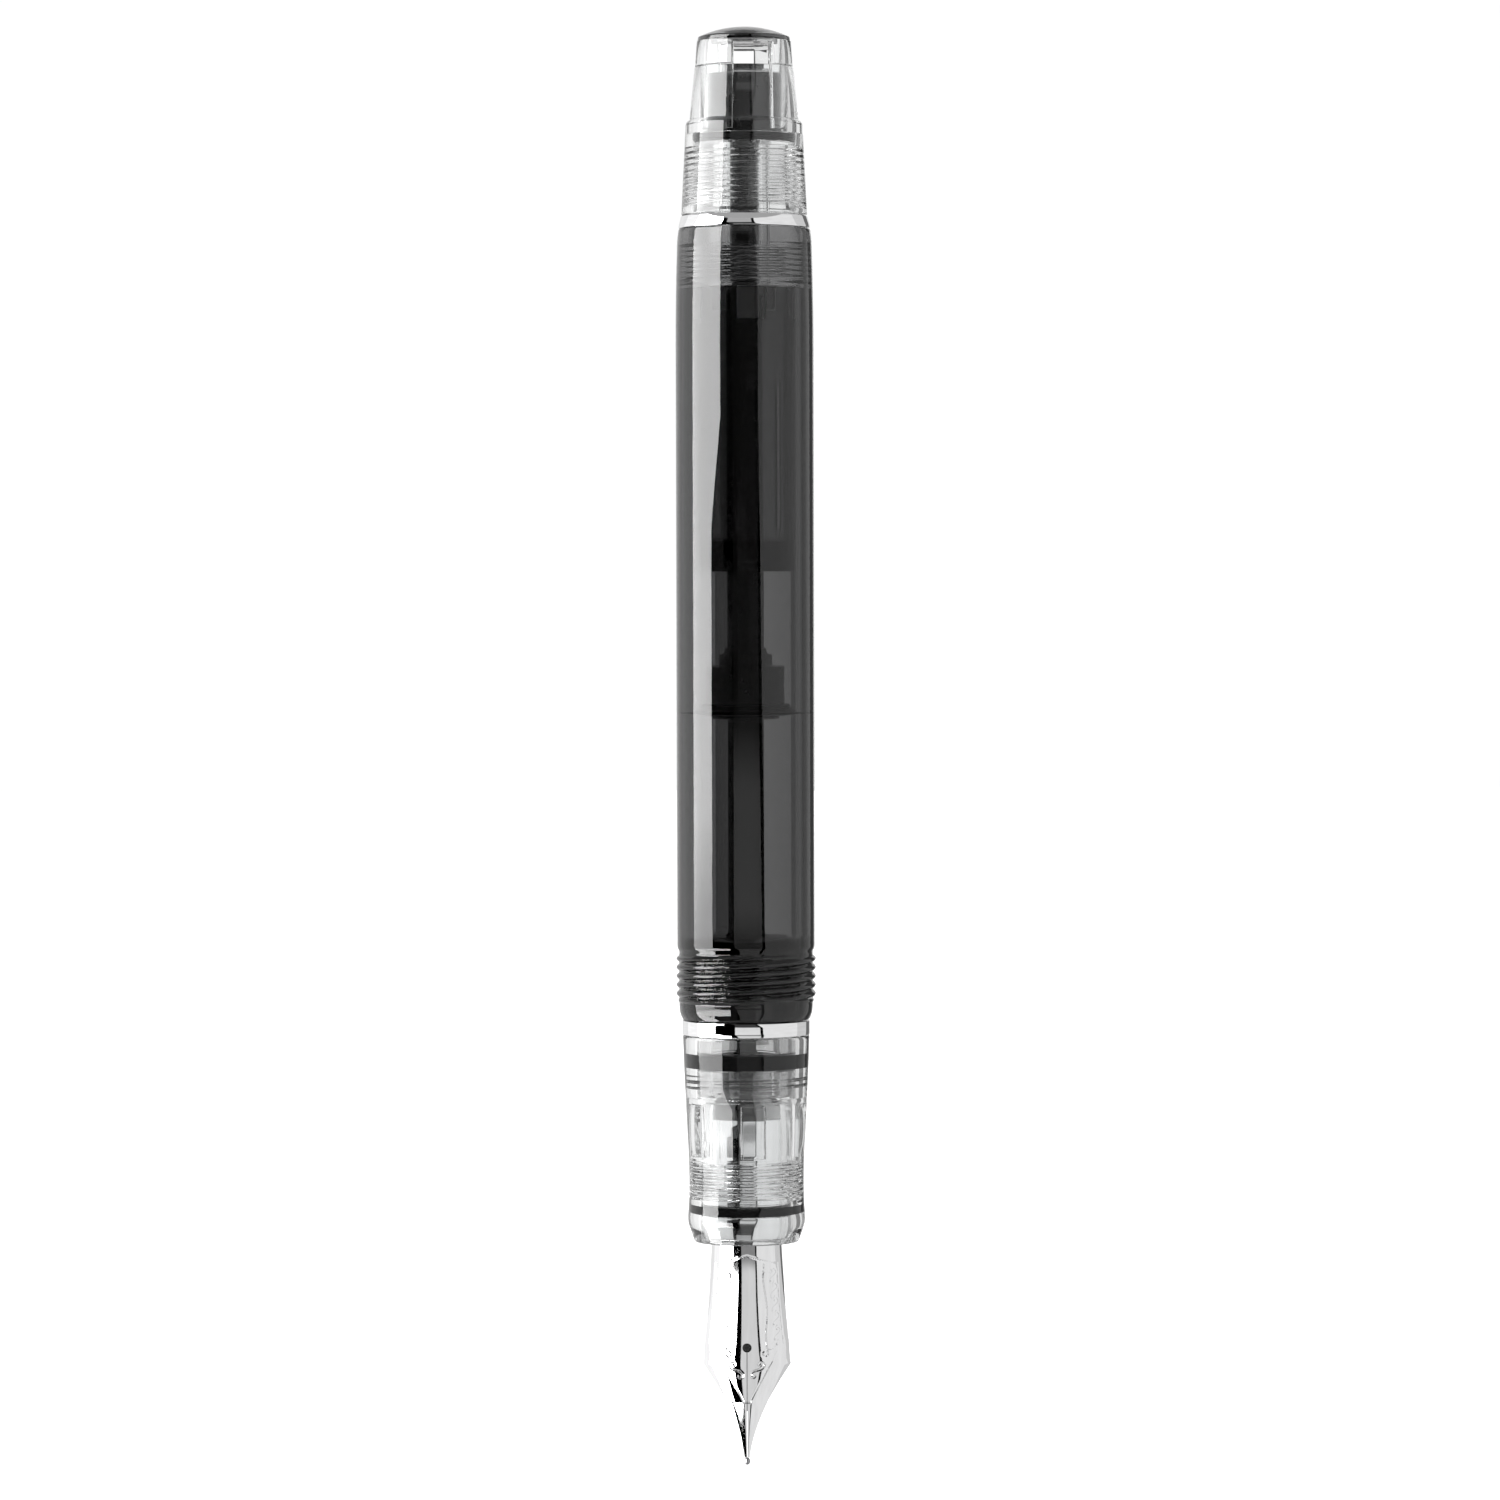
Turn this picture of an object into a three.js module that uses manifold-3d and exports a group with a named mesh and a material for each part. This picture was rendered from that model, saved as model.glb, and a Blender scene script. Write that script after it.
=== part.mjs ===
// Transparent piston-filling fountain pen, without its cap.
// Millimetres. The pen's axis is Z, the nib points down and the knob is at the top.
// The origin is level with the writing point. The nib's engraved face looks towards -Y.
import * as THREE from "three";
import { mergeVertices } from "three/addons/utils/BufferGeometryUtils.js";
import Module from "manifold-3d";

const wasm = await Module();
wasm.setup();

// ---- driving dimensions -----------------------------------------------------------------

const GAP = 0.1; // between parts that are screwed or pressed together
const RUNNING = 0.055; // radial clearance of the seal and of turning parts
const ROUND = 32; // sides of the wide round parts
const FINE = 16; // sides of the thin rods and their holes
const RIB_COUNT = 5; // the keys and pockets repeat five times round the pen
const KEY_ANGLE = 7.5; // degrees from the nib's face to the first key, towards +X

const BARREL = {
  radius: 6.5,
  bore: 4.875,
  tenonRadius: 4.67,
  passage: 3.3,
  tenonEnd: 34.9,
  shoulder: 42.1,
  shoulderRadius: 6.04,
  chamberEnd: 48.6,
  chamberCone: 49.6,
  taperStart: 109.9,
  rearBore: 5.3,
  rearStep: 110.85,
  rear: 116.5,
  rearRadius: 6.22,
};
const CAP_THREAD = { from: 43.6, to: 48.3, root: 6.32, height: 0.28, starts: 2, lead: 1.65 };
const O_RING = { from: 37.5, to: 39, inner: 3.98, outer: 4.7 };
const HOUSING_RING = { from: 23.68, to: 24.62, inner: 3.78, outer: 4.33 };
const FRONT_RING = { from: 40.68, to: 42.02, radius: 6.04 };
const REAR_RING = { from: 116.58, to: 117.75, lowRadius: 6.2, topRadius: 5.95 };
const SECTION = {
  lip: 21.1,
  rear: 40.6,
  bore: 4.36,
  rearBore: 4.73,
  rearBoreFrom: 34.75,
  pocketFrom: 29.2,
  pocketTo: 34.2,
  pocketDepth: 4.95,
  pocketHalfAngle: 13.5,
};
const HOUSING = { from: 21.7, to: 34.4, radius: 4.29, bore: 3.36 };
const NIB = {
  length: 32.8,
  tangRadius: 3.3,
  shoulder: 9.6,
  shoulderHalfWidth: 4.38,
  tipHalfWidth: 0.25,
  taperPower: 1.65,
  tipGap: 0.75,
  tipDepth: 1.3,
  sheet: 0.24,
  tipSheet: 0.42,
  ventHeight: 11.3,
  ventRadius: 0.435,
  slit: 0.12,
};
const TIPPING_RADIUS = 0.36;
const FEED = {
  tip: 5.2,
  finsFrom: 9.6,
  finCount: 10,
  finPitch: 1.05,
  finThickness: 0.42,
  core: 2.1,
  radius: 3.28,
  tailFrom: 34.9,
  tailRadius: 2.4,
  end: 37.6,
  lean: 1.15,
};
const SLEEVE = {
  from: 84.3,
  floorTop: 87,
  to: 110.8,
  radius: 4.8,
  inner: 4.3,
  slotFrom: 88,
  slotTo: 101.2,
  slotCount: 6,
  slotWidth: 1.1,
};
const COLLAR = {
  toothFrom: 107.9,
  from: 110.95,
  shoulder: 116.45,
  to: 124.6,
  radius: 5.25,
  neck: 4.9,
  bore: 1.6,
  toothInner: 4.34,
  toothHalfAngle: 17,
};
const PISTON = {
  nose: 70,
  headFrom: 70.4,
  headTo: 75.3,
  headRadius: 3.68,
  groove: 2.6,
  sealFrom: 70.75,
  sealTo: 71.7,
  stemFlange: 2.53,
  stemFrom: 75.4,
  flangeTop: 76.4,
  stemTo: 110,
  stemRadius: 2,
  stemFlat: 1.65,
  stemBore: 1.5,
  boreFrom: 77,
  spigot: 1.45,
  spigotFrom: 72.8,
  plugBore: 1,
  plugTo: 72.1,
};
const SPINDLE = { from: 86, thread: 111, to: 129.4, root: 1.05, crest: 1.4, starts: 2, lead: 7.6 };
const KNOB = {
  from: 117.85,
  step: 126.1,
  stepTop: 126.7,
  joint: 132.2,
  top: 134.15,
  skirtRadius: 5.93,
  stepRadius: 5.5,
  crownRadius: 5.12,
  topRadius: 4.42,
  bore: 4.96,
  washerSeat: 124.75,
  washerTop: 125.4,
  insertBore: 4.15,
};
const HEAD = { from: 125.42, to: 130.9, radius: 3.5 };
const INSERT = { from: 125.7, ceiling: 131.2, outer: 4.08, inner: 3.62, mouth: 3.25, slot: 0.9 };
const FINIAL = { from: 132.7, rim: 134.25, top: 135.6, rimRadius: 4.37, spigot: 3.15, flat: 0.8 };

// ---- materials --------------------------------------------------------------------------

const material = (color, roughness, metalness, opacity = 1) =>
  new THREE.MeshStandardMaterial({
    color,
    roughness,
    metalness,
    opacity,
    transparent: opacity < 1,
  });
const SMOKE = material(0x47484b, 0.08, 0, 0.55);
const CLEAR = material(0xe9edef, 0.05, 0, 0.3);
const SILVER = material(0xd9dadb, 0.12, 1);
const STEEL = material(0xe2e3e4, 0.15, 1);
const TIP_METAL = material(0xc9cacc, 0.3, 1);
const BLACK_PLASTIC = material(0x0c0c0d, 0.35, 0);
const BLACK_RUBBER = material(0x151516, 0.75, 0);

// ---- helpers ----------------------------------------------------------------------------

const degrees = THREE.MathUtils.degToRad;
const lerp = THREE.MathUtils.lerp;

// A closed solid of revolution about Z. The profile holds [radius, z] pairs that run up the
// outside and down the inside.
function revolve(profile, sides = ROUND) {
  const points = profile.map(([radius, z]) => new THREE.Vector2(radius, z));
  if (profile[0][0] > 0) points.push(points[0].clone());
  return new THREE.LatheGeometry(points, sides).rotateX(Math.PI / 2);
}

// A plain tube between two heights.
const tube = (inner, outer, from, to, sides = ROUND) =>
  revolve([[inner, from], [outer, from], [outer, to], [inner, to]], sides);

// A solid cylinder between two heights.
const rod = (radius, from, to, sides = ROUND) =>
  revolve([[0, from], [radius, from], [radius, to], [0, to]], sides);

// A box centred on x and y, between two heights.
const block = (width, depth, from, to) =>
  new THREE.BoxGeometry(width, depth, to - from).translate(0, 0, (from + to) / 2);

// Part of a ring, between two heights. Its middle is centre degrees round from -Y towards +X.
function arcBlock(inner, outer, from, to, centre, halfAngle) {
  const start = degrees(centre - 90 - halfAngle);
  const end = degrees(centre - 90 + halfAngle);
  const shape = new THREE.Shape();
  shape.absarc(0, 0, outer, start, end, false);
  shape.absarc(0, 0, inner, end, start, true);
  const options = { depth: to - from, bevelEnabled: false, curveSegments: 4 };
  return new THREE.ExtrudeGeometry(shape, options).translate(0, 0, from);
}

// Evenly spaced copies of what make(angle in degrees) returns.
const around = (count, first, make) =>
  Array.from({ length: count }, (_, i) => make(first + (360 * i) / count));

function toSolid(geometry) {
  const bare = geometry.clone();
  bare.deleteAttribute("normal");
  bare.deleteAttribute("uv");
  const merged = mergeVertices(bare, 1e-4);
  return new wasm.Manifold(
    new wasm.Mesh({
      numProp: 3,
      vertProperties: merged.attributes.position.array,
      triVerts: new Uint32Array(merged.index.array),
    }),
  );
}

function toGeometry(solid) {
  const mesh = solid.getMesh();
  const geometry = new THREE.BufferGeometry();
  geometry.setAttribute("position", new THREE.BufferAttribute(mesh.vertProperties, 3));
  geometry.setIndex(new THREE.BufferAttribute(mesh.triVerts, 1));
  geometry.computeVertexNormals();
  return geometry;
}

// One body with the cutters taken away.
const cut = (body, ...cutters) =>
  toGeometry(cutters.reduce((left, cutter) => left.subtract(toSolid(cutter)), toSolid(body)));

// One body with the other pieces joined on.
const join = (body, ...pieces) =>
  toGeometry(pieces.reduce((sum, piece) => sum.add(toSolid(piece)), toSolid(body)));

// Points on a straight or curved stretch of profile: count steps of a function of 0 to 1.
const stretch = (count, point) => Array.from({ length: count + 1 }, (_, i) => point(i / count));

// Raises right-handed helical ridges on the part of a round surface that lies at least at
// radius root, between two heights.
function raiseThread(geometry, { from, to, root, height, starts, lead }) {
  const position = geometry.attributes.position;
  for (let i = 0; i < position.count; i += 1) {
    const x = position.getX(i);
    const y = position.getY(i);
    const z = position.getZ(i);
    const radius = Math.hypot(x, y);
    if (z < from || z > to || radius < root - 0.01) continue;
    const turn = (starts * z) / lead - (starts * Math.atan2(y, x)) / (2 * Math.PI);
    const fade = Math.min(1, (z - from) / 0.4, (to - z) / 0.4);
    const scale = 1 + (height * fade * (1 + Math.cos(2 * Math.PI * turn))) / 2 / radius;
    position.setXY(i, x * scale, y * scale);
  }
  return geometry;
}

// The radii of a tapered stretch, read from a short list of [z, radius] pairs.
function along(pairs, z) {
  const upper = pairs.findIndex(([height]) => height >= z);
  if (upper === -1) return pairs[pairs.length - 1][1];
  if (upper === 0) return pairs[0][1];
  const [z0, value0] = pairs[upper - 1];
  const [z1, value1] = pairs[upper];
  return lerp(value0, value1, (z - z0) / (z1 - z0));
}

const pen = new THREE.Group();
pen.name = "fountain_pen";

function addPart(name, geometry, look) {
  const mesh = new THREE.Mesh(geometry, look);
  mesh.name = name;
  pen.add(mesh);
}

// ---- barrel and its trim ----------------------------------------------------------------

// The barrel ends in front in a tenon that the grip section screws onto, with a groove for
// the O-ring. Its bore is the ink chamber and the piston's cylinder.
function barrel() {
  const { from, to, root } = CAP_THREAD;
  const rows = Math.round((to - from) / (CAP_THREAD.lead / CAP_THREAD.starts / 4));
  const profile = [
    [BARREL.passage, BARREL.tenonEnd],
    [BARREL.tenonRadius - 0.2, BARREL.tenonEnd],
    [BARREL.tenonRadius, BARREL.tenonEnd + 0.3],
    [BARREL.tenonRadius, O_RING.from - GAP],
    [O_RING.inner - 0.03, O_RING.from - GAP],
    [O_RING.inner - 0.03, O_RING.to + GAP],
    [BARREL.tenonRadius, O_RING.to + GAP],
    [BARREL.tenonRadius, BARREL.shoulder],
    [BARREL.shoulderRadius, BARREL.shoulder],
    [root - 0.1, BARREL.shoulder + 0.5],
    [root, BARREL.shoulder + 1.1],
    ...stretch(rows, (t) => [root, lerp(from, to, t)]),
    [BARREL.radius, to + 0.6],
    [BARREL.radius, BARREL.taperStart],
    [BARREL.rearRadius + 0.1, BARREL.rear - 0.9],
    [BARREL.rearRadius, BARREL.rear],
    [BARREL.rearBore, BARREL.rear],
    [BARREL.rearBore, BARREL.rearStep],
    [BARREL.bore, BARREL.rearStep],
    [BARREL.bore, BARREL.chamberCone],
    [BARREL.passage, BARREL.chamberEnd],
  ];
  return raiseThread(revolve(profile), CAP_THREAD);
}

const frontTrimRing = () =>
  revolve([
    [BARREL.tenonRadius + 0.05, FRONT_RING.from],
    [FRONT_RING.radius - 0.12, FRONT_RING.from],
    [FRONT_RING.radius, FRONT_RING.from + 0.12],
    [FRONT_RING.radius, FRONT_RING.to],
    [BARREL.tenonRadius + 0.05, FRONT_RING.to],
  ]);

const rearTrimRing = () =>
  revolve([
    [COLLAR.neck + 0.05, REAR_RING.from],
    [REAR_RING.lowRadius, REAR_RING.from],
    [REAR_RING.topRadius, REAR_RING.to],
    [COLLAR.neck + 0.05, REAR_RING.to],
  ]);

// A rubber ring with a rounded section.
function oRing({ from, to, inner, outer }) {
  const bevel = (outer - inner) / 4;
  return revolve([
    [inner, from + bevel],
    [inner + bevel, from],
    [outer - bevel, from],
    [outer, from + bevel],
    [outer, to - bevel],
    [outer - bevel, to],
    [inner + bevel, to],
    [inner, to - bevel],
  ]);
}

// ---- grip section and nib unit ----------------------------------------------------------

// The clear grip: a lip that flares out, a waist where the fingers sit, and a cone up to the
// front ring. Five pockets in its bore take the nib housing's keys.
function gripSection() {
  const outside = [
    [SECTION.lip, 4.96],
    [21.6, 5.1],
    [22.4, 5.34],
    [23.2, 5.57],
    [24.5, 5.47],
    [26.2, 5.42],
    [28.2, 5.42],
    [30, 5.52],
    [32, 5.65],
    [35.2, 5.8],
    [38.2, 5.93],
    [SECTION.rear, 6],
  ];
  const shell = revolve([
    [SECTION.bore, SECTION.lip],
    ...outside.map(([z, radius]) => [radius, z]),
    [SECTION.rearBore, SECTION.rear],
    [SECTION.rearBore, SECTION.rearBoreFrom],
    [SECTION.bore, SECTION.rearBoreFrom],
  ]);
  const pockets = around(RIB_COUNT, KEY_ANGLE, (angle) =>
    arcBlock(
      SECTION.bore - 0.3,
      SECTION.pocketDepth,
      SECTION.pocketFrom,
      SECTION.pocketTo,
      angle,
      SECTION.pocketHalfAngle,
    ),
  );
  return cut(shell, ...pockets);
}

const nibHousing = () =>
  revolve([
    [HOUSING.bore, HOUSING.from],
    [HOUSING.radius, HOUSING.from],
    [HOUSING.radius, HOUSING_RING.from - GAP],
    [HOUSING_RING.inner - 0.03, HOUSING_RING.from - GAP],
    [HOUSING_RING.inner - 0.03, HOUSING_RING.to + GAP],
    [HOUSING.radius, HOUSING_RING.to + GAP],
    [HOUSING.radius, HOUSING.to],
    [HOUSING.bore, HOUSING.to],
  ]);

// Half the nib's width at a height, seen from its face.
function nibHalfWidth(z) {
  if (z <= NIB.shoulder) {
    const share = Math.max(0, z - NIB.tipGap / 2) / (NIB.shoulder - NIB.tipGap / 2);
    return lerp(NIB.tipHalfWidth, NIB.shoulderHalfWidth, share ** NIB.taperPower);
  }
  return along(
    [
      [NIB.shoulder, NIB.shoulderHalfWidth],
      [10.6, 4.12],
      [12, 3.9],
      [SECTION.lip, NIB.tangRadius],
    ],
    z,
  );
}

// How far the sheet bends round at a height, in degrees each way from its crown.
const nibBend = (z) =>
  along(
    [
      [NIB.tipGap, 25],
      [NIB.shoulder, 52],
      [SECTION.lip - 0.4, 90],
      [SECTION.lip + 3, 105],
    ],
    z,
  );

// How far the crown line stands from the pen's axis at a height.
function nibCrown(z) {
  const share = Math.min(1, z / SECTION.lip);
  return lerp(NIB.tipDepth, NIB.tangRadius, 1 - (1 - share) ** 2);
}

// A bent sheet between two offsets from the nib's outer face, positive outwards.
function bentSheet(outerOffset, innerOffset, extraBend, heights) {
  const across = 12;
  const row = (z, offset) => {
    const bend = nibBend(z) + extraBend;
    const radius = nibHalfWidth(z) / Math.sin(degrees(Math.min(90, nibBend(z))));
    const centre = radius - nibCrown(z);
    const reach = Math.max(0.02, radius + offset(z));
    return stretch(across, (t) => {
      const angle = degrees(lerp(-bend, bend, t));
      return [reach * Math.sin(angle), centre - reach * Math.cos(angle), z];
    });
  };
  const loops = heights.map((z) => [...row(z, outerOffset), ...row(z, innerOffset).reverse()]);
  const size = loops[0].length;
  const index = [];
  for (let level = 0; level + 1 < loops.length; level += 1) {
    for (let i = 0; i < size; i += 1) {
      const a = level * size + i;
      const b = level * size + ((i + 1) % size);
      index.push(a, b, b + size, a, b + size, a + size);
    }
  }
  const last = (loops.length - 1) * size;
  for (let i = 0; i < across; i += 1) {
    const mate = size - 1 - i;
    index.push(i, mate, mate - 1, i, mate - 1, i + 1);
    index.push(last + i, last + mate - 1, last + mate, last + i, last + i + 1, last + mate - 1);
  }
  const geometry = new THREE.BufferGeometry();
  const vertices = new Float32Array(loops.flat(2));
  geometry.setAttribute("position", new THREE.BufferAttribute(vertices, 3));
  geometry.setIndex(index);
  return geometry;
}

const nibSheet = (z) => along([[NIB.tipGap, NIB.tipSheet], [NIB.shoulder, NIB.sheet]], z);

// The nib is a bent steel sheet with a vent hole and a slit from there to the tip.
function nib() {
  const heights = [
    ...stretch(9, (t) => lerp(NIB.tipGap, NIB.shoulder, t)),
    10.6,
    12,
    15,
    18,
    SECTION.lip - 0.4,
    SECTION.lip + 3,
    NIB.length,
  ];
  const sheet = bentSheet(() => 0, (z) => -nibSheet(z), 0, heights);
  const vent = new THREE.CylinderGeometry(NIB.ventRadius, NIB.ventRadius, 9, FINE)
    .translate(0, -4, 0)
    .translate(0, 0, NIB.ventHeight);
  const slit = block(NIB.slit, 9, -1, NIB.ventHeight).translate(0, -4, 0);
  return cut(sheet, vent, slit);
}

// The hard pellet that writes, welded to the tines.
const nibTipping = () =>
  new THREE.SphereGeometry(TIPPING_RADIUS, 12, 8).translate(
    0,
    NIB.tipSheet / 2 - NIB.tipDepth,
    TIPPING_RADIUS,
  );

// Leans the front of the feed towards the nib, more and more towards its tip.
function leanForward(geometry) {
  const position = geometry.attributes.position;
  const reach = SECTION.lip - FEED.tip;
  for (let i = 0; i < position.count; i += 1) {
    const share = Math.max(0, SECTION.lip - position.getZ(i)) / reach;
    position.setY(i, position.getY(i) - FEED.lean * share ** 1.5);
  }
}

// The clear feed fills the housing behind the nib. In front of the grip it carries fins, and
// its tapered tongue lies against the underside of the tines.
function feed() {
  const { finsFrom, finPitch, finThickness, core, radius } = FEED;
  const fins = Array.from({ length: FEED.finCount }, (_, i) => finsFrom + i * finPitch).flatMap((z) => {
    const reach = Math.min(radius, 2.5 + (z - finsFrom) * 0.13);
    return [[core, z], [reach, z], [reach, z + finThickness], [core, z + finThickness]];
  });
  const body = revolve(
    [
      [0, FEED.tip],
      [1.2, FEED.tip],
      [core, finsFrom - 0.3],
      ...fins,
      [core, SECTION.lip - 0.6],
      [radius, SECTION.lip - 0.3],
      [radius, FEED.tailFrom - 0.8],
      [FEED.tailRadius, FEED.tailFrom],
      [FEED.tailRadius, FEED.end],
      [0, FEED.end],
    ],
    20,
  );
  leanForward(body);
  const seatHeights = [FEED.tip - 1, 7, NIB.shoulder, 12, 15, 18, SECTION.lip, 24.1, NIB.length + 0.1];
  const seat = bentSheet(() => 4, (z) => -nibSheet(z) - 0.04, 8, seatHeights);
  return cut(body, seat);
}

// ---- piston -----------------------------------------------------------------------------

// Round, with two flats that stop the stem from turning in the guide sleeve.
function keyedRod(radius, flat, from, to) {
  const side = block(2, 2 * radius + 1, from - 1, to + 1);
  const shift = flat + 1;
  return cut(
    rod(radius, from, to, FINE),
    side.clone().translate(shift, 0, 0),
    side.clone().translate(-shift, 0, 0),
  );
}

// The stem holds the spindle in its bore. Its flange and spigot plug into the piston head.
function pistonStem() {
  const { stemFrom, flangeTop, stemTo, stemRadius, stemFlat, stemFlange } = PISTON;
  const foot = join(
    rod(PISTON.spigot - 0.1, PISTON.spigotFrom, stemFrom + 0.1, FINE),
    rod(stemFlange, stemFrom, flangeTop, FINE),
  );
  const shank = keyedRod(stemRadius, stemFlat, flangeTop - 0.2, stemTo);
  return cut(join(foot, shank), rod(PISTON.stemBore, PISTON.boreFrom, stemTo + 1, FINE));
}

function pistonHead() {
  const { headFrom, headTo, headRadius, groove, sealFrom, sealTo } = PISTON;
  const { plugBore, plugTo, spigot, spigotFrom } = PISTON;
  const flange = 3.2;
  return revolve(
    [
      [0, plugTo + GAP],
      [plugBore, plugTo + GAP],
      [plugBore, headFrom],
      [flange, headFrom],
      [flange, sealFrom - 0.05],
      [groove, sealFrom - 0.05],
      [groove, sealTo + 0.05],
      [headRadius, sealTo + 0.05],
      [headRadius, headTo - 0.2],
      [headRadius - 0.2, headTo],
      [spigot, headTo],
      [spigot, spigotFrom - GAP],
      [0, spigotFrom - GAP],
    ],
    24,
  );
}

// The seal's lip wipes the bore.
function pistonSeal() {
  const { groove, sealFrom, sealTo } = PISTON;
  const lip = BARREL.bore - RUNNING;
  return revolve([
    [groove + 0.04, sealFrom],
    [lip - 0.5, sealFrom],
    [lip, sealFrom + 0.2],
    [lip, sealFrom + 0.5],
    [lip - 0.4, sealTo],
    [groove + 0.04, sealTo],
  ]);
}

// A plug closes the front of the head.
const pistonPlug = () =>
  revolve(
    [
      [0, PISTON.nose],
      [1.5, PISTON.nose],
      [1.7, PISTON.nose + 0.15],
      [1.7, PISTON.headFrom - 0.05],
      [PISTON.plugBore - 0.06, PISTON.headFrom - 0.05],
      [PISTON.plugBore - 0.06, PISTON.plugTo],
      [0, PISTON.plugTo],
    ],
    FINE,
  );

// ---- filling mechanism in the barrel's rear ---------------------------------------------

// The sleeve lines the bore. Its floor has a keyed hole for the stem, its wall is slotted,
// and its crown locks into the collar's teeth so that it can't turn.
function guideSleeve() {
  const cup = revolve([
    [1, SLEEVE.from],
    [SLEEVE.radius, SLEEVE.from],
    [SLEEVE.radius, SLEEVE.to],
    [SLEEVE.inner, SLEEVE.to],
    [SLEEVE.inner, SLEEVE.floorTop],
    [1, SLEEVE.floorTop],
  ]);
  const keyhole = keyedRod(
    PISTON.stemRadius + GAP,
    PISTON.stemFlat + GAP,
    SLEEVE.from - 1,
    SLEEVE.floorTop + 1,
  );
  const slotHalfAngle = THREE.MathUtils.radToDeg(SLEEVE.slotWidth / 2 / SLEEVE.radius);
  const slots = around(SLEEVE.slotCount, KEY_ANGLE, (angle) =>
    arcBlock(4, 5, SLEEVE.slotFrom, SLEEVE.slotTo, angle, slotHalfAngle),
  );
  const notches = around(RIB_COUNT, KEY_ANGLE, (angle) =>
    arcBlock(4, 5, COLLAR.toothFrom - GAP, SLEEVE.to + 1, angle, COLLAR.toothHalfAngle + 1.5),
  );
  return cut(cup, keyhole, ...slots, ...notches);
}

// The collar screws into the barrel, holds the guide sleeve down by its teeth, and carries
// the neck that the knob runs on.
function retainingCollar() {
  const body = revolve([
    [COLLAR.bore, COLLAR.from],
    [COLLAR.radius, COLLAR.from],
    [COLLAR.radius, COLLAR.shoulder],
    [COLLAR.neck, COLLAR.shoulder],
    [COLLAR.neck, COLLAR.to],
    [COLLAR.bore, COLLAR.to],
  ]);
  const teeth = around(RIB_COUNT, KEY_ANGLE, (angle) =>
    arcBlock(
      COLLAR.toothInner,
      SLEEVE.radius,
      COLLAR.toothFrom,
      COLLAR.from + 0.2,
      angle,
      COLLAR.toothHalfAngle,
    ),
  );
  return join(body, ...teeth);
}

// A steep double thread drives the stem. Above it the shank is plain.
function spindleScrew() {
  const rows = 28;
  const thread = {
    from: SPINDLE.from + 0.5,
    to: SPINDLE.thread,
    root: SPINDLE.root,
    height: SPINDLE.crest - SPINDLE.root,
    starts: SPINDLE.starts,
    lead: SPINDLE.lead,
  };
  const shank = revolve(
    [
      [0, SPINDLE.from],
      [SPINDLE.root - 0.2, SPINDLE.from],
      ...stretch(rows, (t) => [SPINDLE.root, lerp(thread.from, thread.to, t)]),
      [SPINDLE.crest - 0.05, SPINDLE.thread + 0.5],
      [SPINDLE.crest - 0.05, SPINDLE.to],
      [0, SPINDLE.to],
    ],
    FINE,
  );
  return raiseThread(shank, thread);
}

// ---- knob -------------------------------------------------------------------------------

const knobShell = () =>
  revolve([
    [KNOB.bore, KNOB.from],
    [KNOB.skirtRadius, KNOB.from],
    [KNOB.stepRadius, KNOB.step],
    [KNOB.crownRadius, KNOB.stepTop],
    [lerp(KNOB.crownRadius, KNOB.topRadius, 0.74), KNOB.joint - 0.05],
    [KNOB.insertBore, KNOB.joint - 0.05],
    [KNOB.insertBore, KNOB.washerTop],
    [KNOB.bore, KNOB.washerTop],
  ]);

// The washer lies between the neck and the spindle head and rides up with the knob.
const knobWasher = () =>
  tube(SPINDLE.crest + GAP, KNOB.bore - 0.08, KNOB.washerSeat + 0.08, KNOB.washerTop - 0.06);

// A slotted cup that grips the spindle head. Its flange shows between the shell and finial.
function knobInsert() {
  const flange = lerp(KNOB.crownRadius, KNOB.topRadius, 0.74);
  const cup = revolve([
    [INSERT.inner, INSERT.from],
    [INSERT.outer, INSERT.from],
    [INSERT.outer, KNOB.joint],
    [flange, KNOB.joint],
    [KNOB.topRadius, KNOB.top],
    [INSERT.mouth, KNOB.top],
    [INSERT.mouth, INSERT.ceiling],
    [INSERT.inner, INSERT.ceiling],
  ]);
  const slotHalfAngle = THREE.MathUtils.radToDeg(INSERT.slot / 2 / INSERT.outer);
  const slots = around(RIB_COUNT, KEY_ANGLE - 20, (angle) =>
    arcBlock(3.4, 4.4, INSERT.from - 1, INSERT.ceiling - 0.5, angle, slotHalfAngle),
  );
  return cut(cup, ...slots);
}

const spindleHead = () =>
  revolve(
    [
      [0, SPINDLE.to + GAP],
      [SPINDLE.crest + 0.03, SPINDLE.to + GAP],
      [SPINDLE.crest + 0.03, HEAD.from],
      [HEAD.radius, HEAD.from],
      [HEAD.radius, HEAD.to - 0.3],
      [HEAD.radius - 0.3, HEAD.to],
      [0, HEAD.to],
    ],
    24,
  );

function knobFinial() {
  const rise = FINIAL.top - FINIAL.rim - 0.3;
  const dome = stretch(5, (t) => [
    FINIAL.rimRadius * Math.cos((t * Math.PI) / 2),
    FINIAL.rim + 0.3 + rise * Math.sin((t * Math.PI) / 2) ** 1.5,
  ]);
  return revolve([
    [0, FINIAL.from],
    [FINIAL.spigot, FINIAL.from],
    [FINIAL.spigot, FINIAL.rim],
    [FINIAL.rimRadius, FINIAL.rim],
    ...dome.slice(0, -1),
    [FINIAL.flat, FINIAL.top],
    [0, FINIAL.top],
  ]);
}

// ---- assembly ---------------------------------------------------------------------------

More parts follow.
